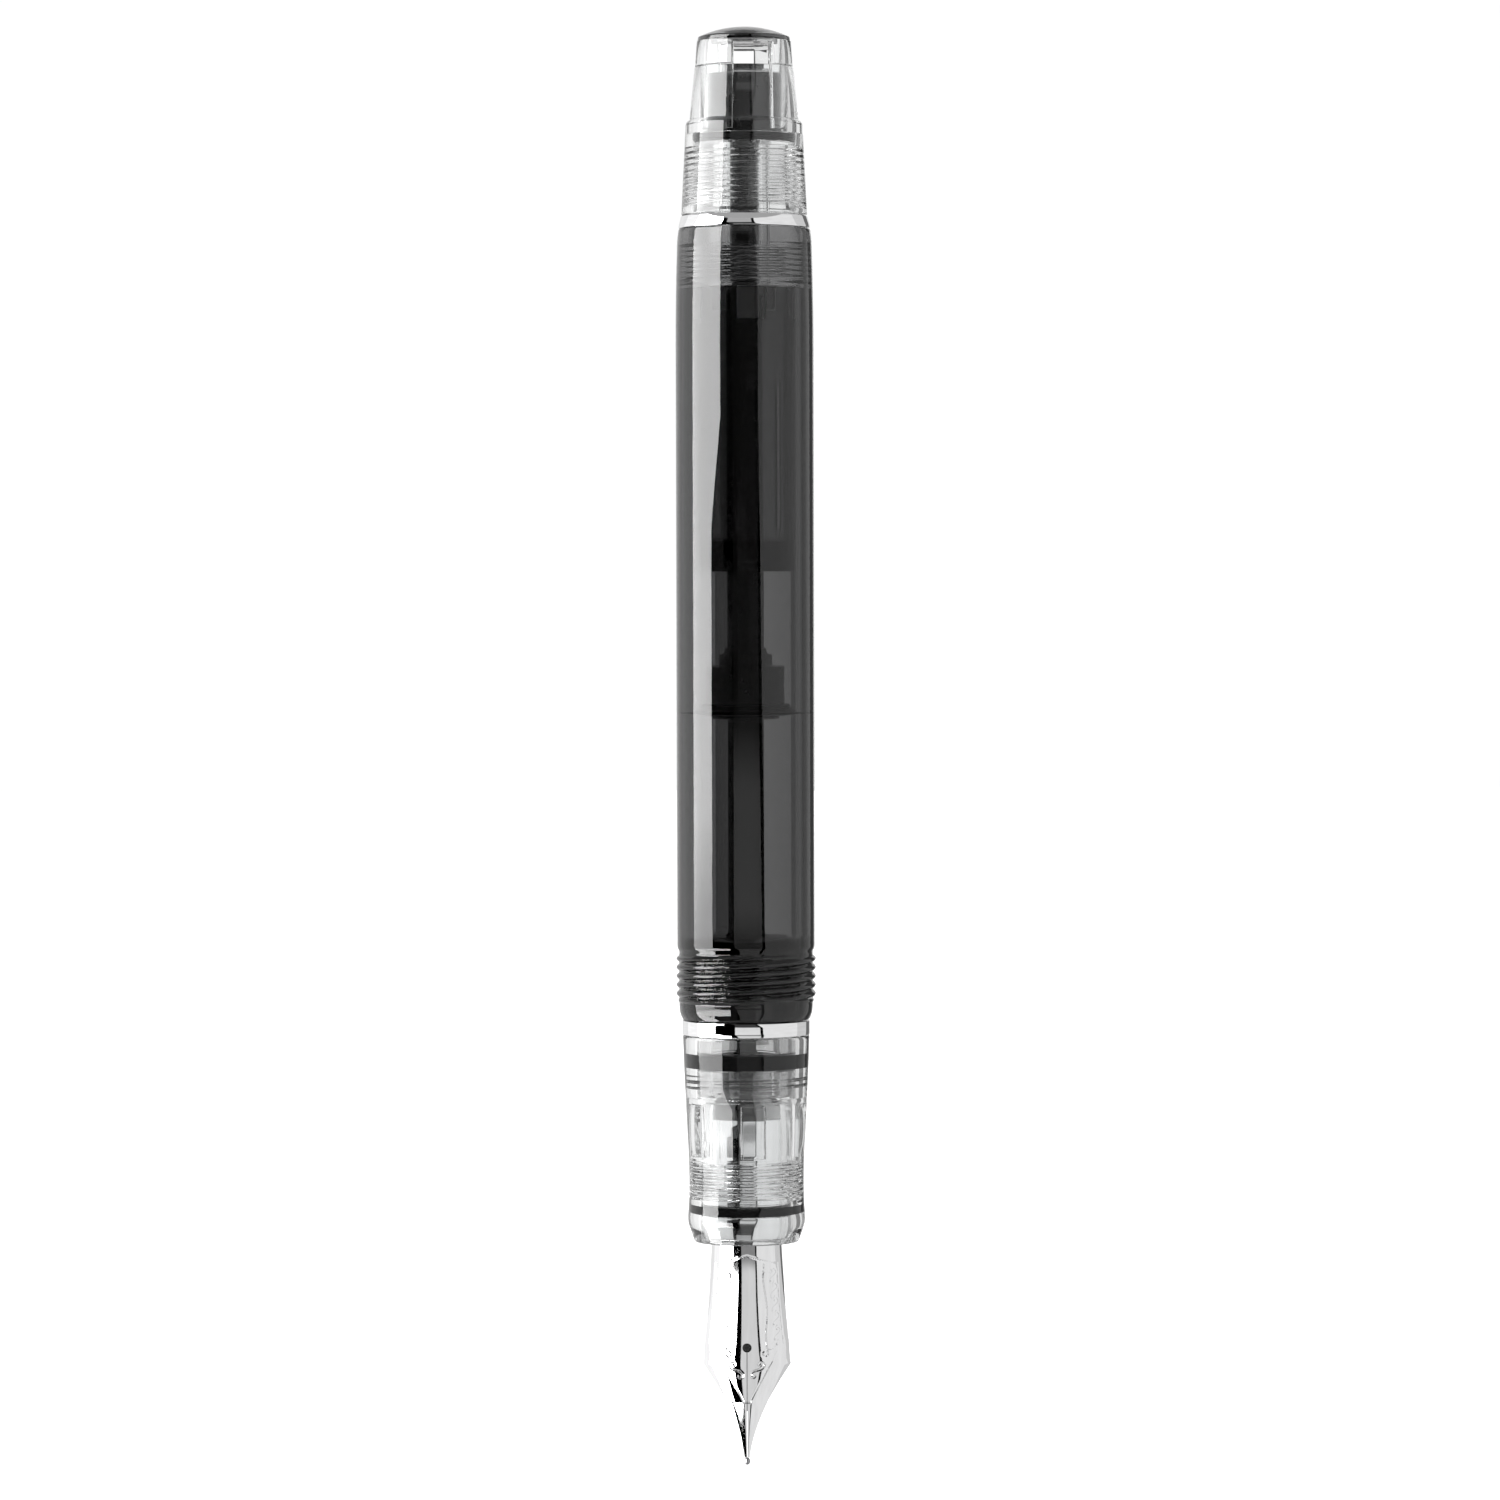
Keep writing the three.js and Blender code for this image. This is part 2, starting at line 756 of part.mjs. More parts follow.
addPart("barrel", barrel(), SMOKE);
addPart("front_trim_ring", frontTrimRing(), SILVER);
addPart("rear_trim_ring", rearTrimRing(), SILVER);
addPart("section_o_ring", oRing(O_RING), BLACK_RUBBER);
addPart("grip_section", gripSection(), CLEAR);
addPart("nib_housing", nibHousing(), CLEAR);
addPart("housing_o_ring", oRing(HOUSING_RING), BLACK_RUBBER);
addPart("nib", nib(), STEEL);
addPart("nib_tipping", nibTipping(), TIP_METAL);
addPart("feed", feed(), CLEAR);
addPart("guide_sleeve", guideSleeve(), SMOKE);
addPart("retaining_collar", retainingCollar(), CLEAR);
addPart("piston_stem", pistonStem(), BLACK_PLASTIC);
addPart("piston_head", pistonHead(), BLACK_PLASTIC);
addPart("piston_seal", pistonSeal(), BLACK_RUBBER);
addPart("piston_plug", pistonPlug(), BLACK_PLASTIC);
addPart("knob_shell", knobShell(), CLEAR);
addPart("knob_insert", knobInsert(), CLEAR);
addPart("knob_finial", knobFinial(), SMOKE);
addPart("spindle_head", spindleHead(), BLACK_PLASTIC);
addPart("spindle_screw", spindleScrew(), BLACK_PLASTIC);
addPart("knob_washer", knobWasher(), BLACK_RUBBER);

export default pen;
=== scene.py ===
import math

import bmesh
import bpy
import numpy as np
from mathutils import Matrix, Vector
from mathutils.kdtree import KDTree


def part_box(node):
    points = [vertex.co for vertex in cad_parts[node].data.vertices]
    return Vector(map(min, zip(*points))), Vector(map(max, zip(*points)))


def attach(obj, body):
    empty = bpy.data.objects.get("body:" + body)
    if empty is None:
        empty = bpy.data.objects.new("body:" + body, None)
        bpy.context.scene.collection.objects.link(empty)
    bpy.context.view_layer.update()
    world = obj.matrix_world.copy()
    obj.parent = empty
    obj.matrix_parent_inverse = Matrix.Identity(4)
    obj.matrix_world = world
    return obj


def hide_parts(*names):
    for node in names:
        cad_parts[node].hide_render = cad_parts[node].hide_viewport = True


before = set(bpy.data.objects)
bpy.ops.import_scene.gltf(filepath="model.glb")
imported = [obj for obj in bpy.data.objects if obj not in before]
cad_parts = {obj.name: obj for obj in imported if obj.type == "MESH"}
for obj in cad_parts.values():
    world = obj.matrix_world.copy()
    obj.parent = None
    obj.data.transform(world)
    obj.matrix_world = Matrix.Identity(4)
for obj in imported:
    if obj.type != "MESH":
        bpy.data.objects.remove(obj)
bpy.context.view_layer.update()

# A fountain pen that fills with a twist-knob piston. It stands nib down along Z, with the nib's
# face towards -Y. The pen's own sizes are in millimetres, and MM turns them into metres. The
# camera's and the studio's are in metres.
MM = 0.001


# ---- what the frame says ----


def low(node):
    """The height of a CAD node's lower end, in millimetres."""
    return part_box(node)[0][2] / MM


def high(node):
    """The height of a CAD node's upper end, in millimetres."""
    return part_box(node)[1][2] / MM


def reach(node):
    """A round CAD node's outer radius, in millimetres."""
    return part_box(node)[1][0] / MM


def extent(node):
    """A round CAD node's lower end, upper end and outer radius."""
    return low(node), high(node), reach(node)


LIP = low("grip_section")
RING_TOP = high("front_trim_ring")
SQUEEZE = 0.045  # how far a rubber ring presses into the wall that seals it
SEAL_BORE = reach("piston_seal") + SQUEEZE
FINE_PITCH = 0.57  # of the knob's thread and the nib unit's
KEY_COUNT = 5  # the grip has five pockets, and the collar has five teeth
KEY_ANGLE = 7.5  # degrees from the nib's face to the first pocket, towards +X


# ---- mesh tools ----

CRISP = 32  # degrees between two faces from which their edge isn't shaded smooth
SAME_POINT = 1e-8  # metres
NO_LENGTH = 1e-9  # metres
EDGE_SHARE = 0.45  # the most that a fillet takes of each edge beside it
ON_WALL = 1e-4  # a point this close to a thread's wall carries its ridges
END_SLACK = 1e-6
SECTOR_STEPS = 10
SOFTEN_ANGLE = 50  # degrees between two faces from which soften() rounds their edge


def new_object(name, vertices, faces, sharp=CRISP):
    """A smooth-shaded mesh object from millimetres, with edges over sharp degrees kept crisp."""
    mesh = bpy.data.meshes.new(name)
    mesh.from_pydata((np.asarray(vertices, dtype=float) * MM).tolist(), [], faces)
    obj = bpy.data.objects.new(name, mesh)
    bpy.context.scene.collection.objects.link(obj)
    tidy_mesh(mesh, sharp)
    return obj


def tidy_mesh(mesh, sharp):
    """Merges doubled points, turns every face outwards and sets the shading."""
    work = bmesh.new()
    work.from_mesh(mesh)
    bmesh.ops.remove_doubles(work, verts=work.verts, dist=SAME_POINT)
    bmesh.ops.dissolve_degenerate(work, edges=work.edges, dist=NO_LENGTH)
    bmesh.ops.recalc_face_normals(work, faces=work.faces)
    work.to_mesh(mesh)
    work.free()
    mesh.shade_smooth()
    mesh.set_sharp_from_angle(angle=math.radians(sharp))


def rounded(profile, fillet=0.05, steps=3):
    """The profile with its corners rounded, and whether it closes on itself.

    A point is (radius, z) or (radius, z, own fillet). A profile that starts off the axis is closed.
    """
    closed = profile[0][0] > 0
    points = [Vector(p[:2]) for p in profile]
    fillets = [p[2] if len(p) > 2 else fillet for p in profile]
    out = []
    for i, corner in enumerate(points):
        before, after = points[i - 1], points[(i + 1) % len(points)]
        ends = not closed and i in (0, len(points) - 1)
        if ends or fillets[i] <= 0:
            out.append(corner)
            continue
        back, ahead = before - corner, after - corner
        cut = min(fillets[i], back.length * EDGE_SHARE, ahead.length * EDGE_SHARE)
        start, end = corner + back.normalized() * cut, corner + ahead.normalized() * cut
        for k in range(steps + 1):
            t = k / steps
            out.append(start * (1 - t) ** 2 + corner * 2 * t * (1 - t) + end * t * t)
    return out, closed


class Helix:
    """A right-handed thread on a round wall, between two heights.

    spacing is from crest to crest. The ridges fade out over the length fade at both ends, and a
    smaller crest makes them broader.
    """

    def __init__(self, radius, start, end, spacing, height, starts=1, fade=0.5, crest=0.8):
        self.radius, self.start, self.end = radius, start, end
        self.spacing, self.height, self.starts = spacing, height, starts
        self.fade, self.crest = fade, crest

    def rows(self, per_ridge=10):
        """Profile points up the wall, close enough together to carry the ridges."""
        count = int((self.end - self.start) / self.spacing * per_ridge)
        return [
            (self.radius, self.start + (self.end - self.start) * k / count, 0)
            for k in range(count + 1)
        ]

    def relief(self, radii, heights, angles):
        """How far the ridges raise each profile point, for each angle round the wall."""
        on_wall = np.abs(radii - self.radius) < ON_WALL
        inside = (heights >= self.start - END_SLACK) & (heights <= self.end + END_SLACK)
        turns = self.starts * angles[:, None] / (2 * math.pi)
        phase = heights[None, :] / self.spacing - turns
        ridge = (0.5 + 0.5 * np.cos(2 * math.pi * phase)) ** self.crest
        from_end = np.minimum(heights - self.start, self.end - heights)
        fade = np.clip(from_end / self.fade, 0, 1)
        return ridge * (self.height * fade * on_wall * inside)[None, :]


def revolve(name, profile, sides=128, helices=(), fillet=0.05):
    """A solid of revolution about Z. The profile runs up the outside and down the inside."""
    points, closed = rounded(profile, fillet)
    radii = np.array([p[0] for p in points])
    heights = np.array([p[1] for p in points])
    angles = np.arange(sides) * 2 * math.pi / sides
    radius = np.repeat(radii[None, :], sides, axis=0)
    for helix in helices:
        radius = radius + helix.relief(radii, heights, angles)
    x = radius * np.cos(angles)[:, None]
    y = radius * np.sin(angles)[:, None]
    z = np.repeat(heights[None, :], sides, axis=0)
    vertices = np.stack([x, y, z], axis=2).reshape(-1, 3)
    rows = len(points)
    steps = rows if closed else rows - 1
    faces = []
    for j in range(sides):
        here, there = j * rows, ((j + 1) % sides) * rows
        for i in range(steps):
            k = (i + 1) % rows
            faces.append((here + i, there + i, there + k, here + k))
    return new_object(name, vertices, faces)


def lofted(loops, capped=True):
    """Vertices and faces of a solid through closed loops of equal length."""
    size = len(loops[0])
    vertices = [p for loop in loops for p in loop]
    faces = []
    for level in range(len(loops) - 1):
        a, b = level * size, (level + 1) * size
        faces += [(a + i, a + (i + 1) % size, b + (i + 1) % size, b + i) for i in range(size)]
    if capped:
        faces.append(tuple(range(size))[::-1])
        faces.append(tuple(range((len(loops) - 1) * size, len(loops) * size)))
    return vertices, faces


def sector(inner, outer, bottom, top, centre, half):
    """Part of a ring as (vertices, faces). centre is in degrees from -Y towards +X."""
    steps = range(SECTOR_STEPS + 1)
    angles = [math.radians(centre - 90 - half + 2 * half * k / SECTOR_STEPS) for k in steps]
    loop = [(outer * math.cos(a), outer * math.sin(a)) for a in angles]
    loop += [(inner * math.cos(a), inner * math.sin(a)) for a in reversed(angles)]
    return lofted([[(x, y, z) for x, y in loop] for z in (bottom, top)])


def slab(centre, size):
    """A box as (vertices, faces), for cutting."""
    (cx, cy, cz), (sx, sy, sz) = centre, (s / 2 for s in size)
    loop = [(cx - sx, cy - sy), (cx + sx, cy - sy), (cx + sx, cy + sy), (cx - sx, cy + sy)]
    return lofted([[(x, y, z) for x, y in loop] for z in (cz - sz, cz + sz)])


def around(count, first, make):
    """What make returns for each of count angles spaced evenly from first, in degrees."""
    return [make(first + 360 * k / count) for k in range(count)]


def merged(solids):
    """Several (vertices, faces) solids as one."""
    vertices, faces = [], []
    for points, loops in solids:
        base = len(vertices)
        vertices += points
        faces += [tuple(base + i for i in loop) for loop in loops]
    return vertices, faces


def keep_modified(obj, sharp=CRISP):
    """Makes the shape that an object's modifiers give its own mesh."""
    graph = bpy.context.evaluated_depsgraph_get()
    made = bpy.data.meshes.new_from_object(obj.evaluated_get(graph))
    obj.modifiers.clear()
    old = obj.data
    obj.data = made
    bpy.data.meshes.remove(old)
    tidy_mesh(made, sharp)


def carve(obj, cutters, sharp=CRISP):
    """Cuts (vertices, faces) solids out of an object."""
    tool = new_object(obj.name + "_tool", *merged(cutters))
    boolean = obj.modifiers.new("carve", "BOOLEAN")
    boolean.operation, boolean.solver, boolean.object = "DIFFERENCE", "EXACT", tool
    keep_modified(obj, sharp)
    tool_mesh = tool.data
    bpy.data.objects.remove(tool)
    bpy.data.meshes.remove(tool_mesh)
    return obj


def soften(obj, width=0.06):
    """Rounds the edges that a cut left sharp."""
    bevel = obj.modifiers.new("soften", "BEVEL")
    bevel.width, bevel.segments = width * MM, 2
    bevel.limit_method, bevel.angle_limit = "ANGLE", math.radians(SOFTEN_ANGLE)
    keep_modified(obj)
    return obj


def finish_piece(obj, body, material, stands_for):
    """Gives a piece its material and the body it rides, and hides the CAD node it stands for."""
    obj.data.materials.clear()
    obj.data.materials.append(material)
    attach(obj, body)
    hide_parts(stands_for)


# ---- materials ----

UNTINTED = (1, 1, 1, 1)
CLEAR_TINT = (0.985, 0.99, 0.99, 1)
SMOKE_TINT = (0.5, 0.5, 0.503, 1)
ACRYLIC_IOR = 1.49
FAINT = 0.000002  # metres: the height of flow ripples and polishing streaks
DULL = 0.93  # brightness of a metal's duller streaks, as a share of its colour
DARK_GRAIN = (1, 1, 1.04)  # the two tones of a black surface, as multiples of its shade
PALE_GRAIN = (1.8, 1.8, 1.9)


def principled(name, **sockets):
    """A material with one Principled shader whose plain sockets are set here."""
    material = bpy.data.materials.new(name)
    material.use_nodes = True
    shader = material.node_tree.nodes["Principled BSDF"]
    for socket, value in sockets.items():
        shader.inputs[socket.replace("_", " ")].default_value = value
    return material, shader


def node(material, kind, **settings):
    """A new shader node. A setting names one of its inputs or one of its properties."""
    made = material.node_tree.nodes.new(kind)
    for name, value in settings.items():
        if name in made.inputs:
            made.inputs[name].default_value = value
        else:
            setattr(made, name, value)
    return made


def link(material, source, target):
    material.node_tree.links.new(source, target)


def noise(material, scale, detail=3.0, stretch=(1, 1, 1)):
    """Noise in object space, stretched along the axes."""
    where = node(material, "ShaderNodeTexCoord")
    mapping = node(material, "ShaderNodeMapping", Scale=stretch)
    texture = node(material, "ShaderNodeTexNoise", Scale=scale, Detail=detail)
    link(material, where.outputs["Object"], mapping.inputs["Vector"])
    link(material, mapping.outputs["Vector"], texture.inputs["Vector"])
    return texture.outputs["Fac"]


def spread(material, source, start, end, from_low=0.3, from_high=0.7):
    """A texture's values mapped to a range."""
    mapped = node(material, "ShaderNodeMapRange")
    ends = {"From Min": from_low, "From Max": from_high, "To Min": start, "To Max": end}
    for socket, value in ends.items():
        mapped.inputs[socket].default_value = value
    link(material, source, mapped.inputs["Value"])
    return mapped.outputs["Result"]


def two_tone(material, shader, pattern, first, second):
    """A base colour that varies between two tones with a texture."""
    tone = node(material, "ShaderNodeMix", data_type="RGBA")
    tone.inputs["A"].default_value = first
    tone.inputs["B"].default_value = second
    link(material, spread(material, pattern, 0, 1), tone.inputs["Factor"])
    link(material, tone.outputs["Result"], shader.inputs["Base Color"])


def bump(material, shader, height, distance, strength=1.0):
    """Fine relief of a texture, distance metres high."""
    made = node(material, "ShaderNodeBump", Strength=strength, Distance=distance)
    link(material, height, made.inputs["Height"])
    link(material, made.outputs["Normal"], shader.inputs["Normal"])


def acrylic(name, tint, absorption=0.0, rough=(0.0, 0.02), clear=1.0):
    """Transparent plastic: polished, with faint flow ripples and hair-fine handling marks.

    absorption is how fast it darkens with thickness, and rough is the range of its roughness.
    """
    material, shader = principled(
        name, Base_Color=tint, Transmission_Weight=clear, IOR=ACRYLIC_IOR, Roughness=0.0
    )
    marks = noise(material, 900, 4.0, (1, 1, 0.12))
    link(material, spread(material, marks, *rough, 0.45, 0.75), shader.inputs["Roughness"])
    flow = noise(material, 260, 2.0, (1, 1, 0.25))
    bump(material, shader, flow, FAINT)
    if absorption:
        volume = node(
            material, "ShaderNodeVolumeAbsorption", Color=SMOKE_TINT, Density=absorption
        )
        output = material.node_tree.nodes["Material Output"]
        link(material, volume.outputs["Volume"], output.inputs["Volume"])
    return material


def plating(name, colour, low_rough, high_rough, grain=(1, 1, 1)):
    """Polished metal with faint streaks of uneven polish."""
    material, shader = principled(name, Metallic=1.0, Roughness=low_rough)
    streaks = noise(material, 700, 4.0, grain)
    link(material, spread(material, streaks, low_rough, high_rough), shader.inputs["Roughness"])
    two_tone(material, shader, streaks, colour, (*[c * DULL for c in colour[:3]], 1))
    bump(material, shader, streaks, FAINT, 0.5)
    return material


def black(name, shade, low_rough, high_rough, scale, depth, gloss=0.5):
    """Black plastic or rubber with a fine moulded grain."""
    material, shader = principled(name, Specular_IOR_Level=gloss)
    grain = noise(material, scale, 5.0)
    link(material, spread(material, grain, low_rough, high_rough), shader.inputs["Roughness"])
    dark, pale = [(*[shade * c for c in tone], 1) for tone in (DARK_GRAIN, PALE_GRAIN)]
    two_tone(material, shader, grain, dark, pale)
    bump(material, shader, grain, depth, 0.6)
    return material


SMOKE = acrylic("smoke_acrylic", UNTINTED, 1420)
SLEEVE_SMOKE = acrylic("sleeve_acrylic", UNTINTED, 2300)
FINIAL_SMOKE = acrylic("finial_acrylic", UNTINTED, 620)
FEED_SMOKE = acrylic("feed_acrylic", UNTINTED, 400)
PALE_SMOKE = acrylic("pale_smoke_acrylic", UNTINTED, 420)
CLEAR = acrylic("clear_acrylic", CLEAR_TINT)
FROSTED = acrylic("frosted_acrylic", CLEAR_TINT, rough=(0.2, 0.3), clear=0.5)
SILVER = plating("silver_plating", (0.9, 0.9, 0.905, 1), 0.02, 0.05, (1, 1, 6))
STEEL = plating("nib_steel", (0.88, 0.88, 0.885, 1), 0.03, 0.07, (3, 3, 0.4))
TIP_ALLOY = plating("tipping_alloy", (0.36, 0.36, 0.37, 1), 0.15, 0.3)
PLASTIC = black("black_plastic", 0.008, 0.12, 0.28, 1500, 0.000004)
RUBBER = black("black_rubber", 0.007, 0.35, 0.6, 2500, 0.000008, 0.05)


# ---- barrel ----

TENON = reach("section_o_ring") - 0.03
PASSAGE = 3.3  # radius of the way from the chamber to the feed
CHAMBER_DEPTH = 67.9  # from the barrel's rear end to the chamber's front end
CHAMBER_END = high("barrel") - CHAMBER_DEPTH
BARREL_RADIUS = 6.5
REAR_BORE = reach("retaining_collar") + 0.05
TOOTH_LENGTH = 2.95
REAR_STEP = low("retaining_collar") + TOOTH_LENGTH  # the bore widens here for the collar's thread
REAR_THREAD = (REAR_STEP + 0.3, REAR_STEP + 4.3, 0.5)  # its two ends and its pitch
CAP_ROOT = 6.32
CAP_SPACING = 0.825
SEAM = 0.01  # half the gap between the barrel's two pieces
RING_BORE = 4.95  # of the rear trim ring

cap_thread = Helix(CAP_ROOT, RING_TOP + 1.7, RING_TOP + 6.35, CAP_SPACING, 0.28, 2, 0.35, 0.75)
tenon_thread = Helix(TENON, low("barrel") + 0.45, low("barrel") + 2.3, 0.6, 0.12)
rear_thread = Helix(REAR_BORE, *REAR_THREAD, 0.24)


def make_barrel():
    """The paler tenon and the smoke shell, which meet under the front trim ring."""
    bottom, top = low("barrel"), high("barrel")
    groove = reach("section_o_ring") - 0.75
    ring_low, ring_high = low("section_o_ring") - 0.1, high("section_o_ring") + 0.1
    joint = (RING_TOP + low("front_trim_ring")) / 2
    tenon = [
        (PASSAGE, bottom, 0.15),
        (TENON - 0.25, bottom, 0.1),
        (TENON, bottom + 0.3, 0.1),
        *tenon_thread.rows(),
        (TENON, ring_low),
        (groove, ring_low),
        (groove, ring_high),
        (TENON, ring_high),
        (TENON, joint - SEAM, 0),
        (PASSAGE, joint - SEAM, 0),
    ]
    obj = revolve("barrel_tenon", tenon, 160, (tenon_thread,))
    finish_piece(obj, "barrel", PALE_SMOKE, "barrel")

    shell = [
        (PASSAGE, joint + SEAM, 0),
        (TENON, joint + SEAM, 0),
        (TENON, RING_TOP + 0.08),
        (6.0, RING_TOP + 0.08, 0.15),
        (CAP_ROOT - 0.06, RING_TOP + 0.7, 0.4),
        (CAP_ROOT, RING_TOP + 1.4, 0.2),
        *cap_thread.rows(12),
        (CAP_ROOT, RING_TOP + 6.5, 0.1),
        (BARREL_RADIUS, RING_TOP + 6.9, 0.2),
        (BARREL_RADIUS, top - 9, 5),
        (6.44, top - 5, 2),
        (6.33, top - 1, 0.8),
        (6.2, top, 0.1),
        (REAR_BORE, top),
        *rear_thread.rows()[::-1],
        (REAR_BORE, REAR_STEP),
        (SEAL_BORE, REAR_STEP),
        (SEAL_BORE, CHAMBER_END + 1.1, 0.4),
        (PASSAGE, CHAMBER_END, 0.3),
    ]
    obj = revolve("barrel_shell", shell, 192, (cap_thread, rear_thread))
    finish_piece(obj, "barrel", SMOKE, "barrel")


def make_trim_rings():
    bottom, top, radius = extent("front_trim_ring")
    front = [
        (TENON + 0.05, bottom),
        (radius - 0.003, bottom, 0.08),
        (radius, (bottom + top) / 2, 0.3),
        (radius - 0.003, top, 0.08),
        (TENON + 0.05, top),
    ]
    obj = revolve("front_ring", front, 192)
    finish_piece(obj, "barrel", SILVER, "front_trim_ring")

    bottom, top, radius = extent("rear_trim_ring")
    rear = [
        (RING_BORE, bottom),
        (radius, bottom, 0.12),
        (radius - 0.02, bottom + 0.3, 0.2),
        (radius - 0.25, top, 0.12),
        (RING_BORE, top),
    ]
    obj = revolve("rear_ring", rear, 192)
    finish_piece(obj, "barrel", SILVER, "rear_trim_ring")


def make_o_ring(name, node_name, inner):
    """A rubber ring that fills its groove, so it is squarer than a free one."""
    bottom, top, outer = low(node_name), high(node_name), reach(node_name) + SQUEEZE
    corners = [(inner, bottom), (outer, bottom), (outer, top), (inner, top)]
    obj = revolve(name, corners, 128, fillet=(outer - inner) * 0.2)
    finish_piece(obj, "barrel", RUBBER, node_name)


# ---- grip section and nib unit ----

GRIP_BORE = reach("housing_o_ring") + 0.03
GRIP_REAR_BORE = TENON + 0.06
GRIP_STEP = 34.75  # the grip's bore widens here for the tenon
POCKET_LOW, POCKET_TOP = 29.25, 34.2
POCKET_RADIUS = 4.95
POCKET_HALF = 13.5  # degrees
HOUSING_BORE = 3.36
HOUSING_ROOT = reach("nib_housing") - 0.12
HOUSING_GROOVE = 3.75
UNIT_THREAD = (25.0, 29.1, FINE_PITCH)  # its two ends and its pitch

grip_thread = Helix(GRIP_BORE, *UNIT_THREAD, 0.16)
housing_thread = Helix(HOUSING_ROOT, *UNIT_THREAD, 0.14)


def smooth_curve(corners, steps=10):
    """Points of a smooth curve through (height, radius) corners, as (radius, z, no fillet)."""
    heights, radii = np.array(corners).T
    slopes = np.gradient(radii, heights)
    last = len(heights) - 2
    points = []
    for i in range(last + 1):
        span = heights[i + 1] - heights[i]
        for k in range(steps + (i == last)):
            t = k / steps
            start, end = 2 * t**3 - 3 * t**2 + 1, 3 * t**2 - 2 * t**3
            leave, arrive = t**3 - 2 * t**2 + t, t**3 - t**2
            radius = start * radii[i] + end * radii[i + 1]
            radius += span * (leave * slopes[i] + arrive * slopes[i + 1])
            points.append((radius, heights[i] + span * t, 0))
    return points


def make_grip():
    """The clear grip, with a flared lip and five pockets in its bore."""
    top = high("grip_section")
    rises = [(0.12, 4.96), (0.5, 5.09), (1.2, 5.33), (1.75, 5.5), (2.2, 5.55), (3.3, 5.475)]
    rises += [(5.1, 5.42), (7.2, 5.44), (9.0, 5.51), (10.9, 5.62), (14.1, 5.78), (17.1, 5.91)]
    outside = [(LIP + rise, radius) for rise, radius in rises] + [(top - 0.1, 5.99)]
    profile = [
        (GRIP_BORE, LIP, 0.15),
        (4.85, LIP, 0.05),
        *smooth_curve(outside),
        (5.95, top, 0.04),
        (GRIP_REAR_BORE, top, 0.1),
        (GRIP_REAR_BORE, GRIP_STEP),
        (GRIP_BORE, GRIP_STEP),
        *grip_thread.rows()[::-1],
    ]
    obj = revolve("grip_shell", profile, 160, (grip_thread,))
    size = (GRIP_BORE - 0.3, POCKET_RADIUS, POCKET_LOW, POCKET_TOP)
    pockets = around(KEY_COUNT, KEY_ANGLE, lambda angle: sector(*size, angle, POCKET_HALF))
    soften(carve(obj, pockets))
    finish_piece(obj, "barrel", CLEAR, "grip_section")


def make_housing():
    bottom, top, radius = extent("nib_housing")
    ring_low, ring_high = low("housing_o_ring") - 0.08, high("housing_o_ring") + 0.08
    profile = [
        (HOUSING_BORE, bottom, 0.12),
        (radius, bottom, 0.2),
        (radius, ring_low),
        (HOUSING_GROOVE, ring_low),
        (HOUSING_GROOVE, ring_high),
        (HOUSING_ROOT, ring_high),
        *housing_thread.rows(),
        (radius, 29.4),
        (radius, top, 0.2),
        (HOUSING_BORE, top, 0.1),
    ]
    obj = revolve("nib_housing_tube", profile, 128, (housing_thread,))
    finish_piece(obj, "barrel", CLEAR, "nib_housing")


# ---- nib ----

NIB_LOW = low("nib")
NIB_TOP = high("nib")
NIB_CRISP = 40  # degrees, as CRISP
TANG = -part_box("nib")[0][1] / MM  # radius of the nib's rear, inside the grip
SHOULDER = 9.55  # height of the widest part
SHOULDER_HALF = reach("nib")
TIP_HALF = 0.24
TIP_DEPTH = 1.3
VENT = 11.3  # height of the vent hole's middle
VENT_RADIUS = 0.435
SLIT_HALF = 0.035
CREASE_LOW = 6.08  # where the folded flanks meet beside the slit
CREASE_TOP = 10.9
CREASE_HALF = 0.28  # half the pointed field's width at its foot
FOLD_SLOPE = 0.13
FOLD_FADE = 0.9  # the fold fades out this far above and below the field's top


def nib_half_width(z):
    """Half the nib's width, seen from its face."""
    rise = np.clip((z - NIB_LOW / 2) / (SHOULDER - NIB_LOW / 2), 0, 1)
    taper = TIP_HALF + (SHOULDER_HALF - TIP_HALF) * rise**1.65
    heights = [SHOULDER, 9.9, 10.6, 12.2, 15.5, LIP]
    wing = np.interp(z, heights, [SHOULDER_HALF, 4.3, 4.13, 3.9, 3.6, TANG])
    return np.where(z < SHOULDER, taper, wing)


def nib_bend(z):
    """How far round its axis the sheet is bent to each side, in radians."""
    heights = [NIB_LOW, SHOULDER, LIP - 0.4, LIP + 3]
    return np.radians(np.interp(z, heights, [25, 52, 90, 105]))


def nib_crown(z):
    """How far the middle of the face stands in front of the pen's axis."""
    share = np.minimum(1, z / LIP)
    return TIP_DEPTH + (TANG - TIP_DEPTH) * (1 - (1 - share) ** 2)


def nib_sheet(z):
    """The sheet's thickness, which grows towards the tip."""
    return np.interp(z, [NIB_LOW, SHOULDER], [0.42, 0.24])


def crease(z):
    """Half the width of the pointed field between the slit and the folded flanks."""
    rise = np.clip((z - CREASE_LOW) / (CREASE_TOP - CREASE_LOW), 0, 1)
    return np.interp(z, [NIB_LOW, CREASE_LOW], [0.05, CREASE_HALF]) + 2.6 * rise**1.05


def fold(across, z):
    """How far the flanks beside the pointed field fold back."""
    share = np.clip((CREASE_TOP + FOLD_FADE - z) / (2 * FOLD_FADE), 0, 1)
    return FOLD_SLOPE * np.maximum(0, np.abs(across) - crease(z)) * share


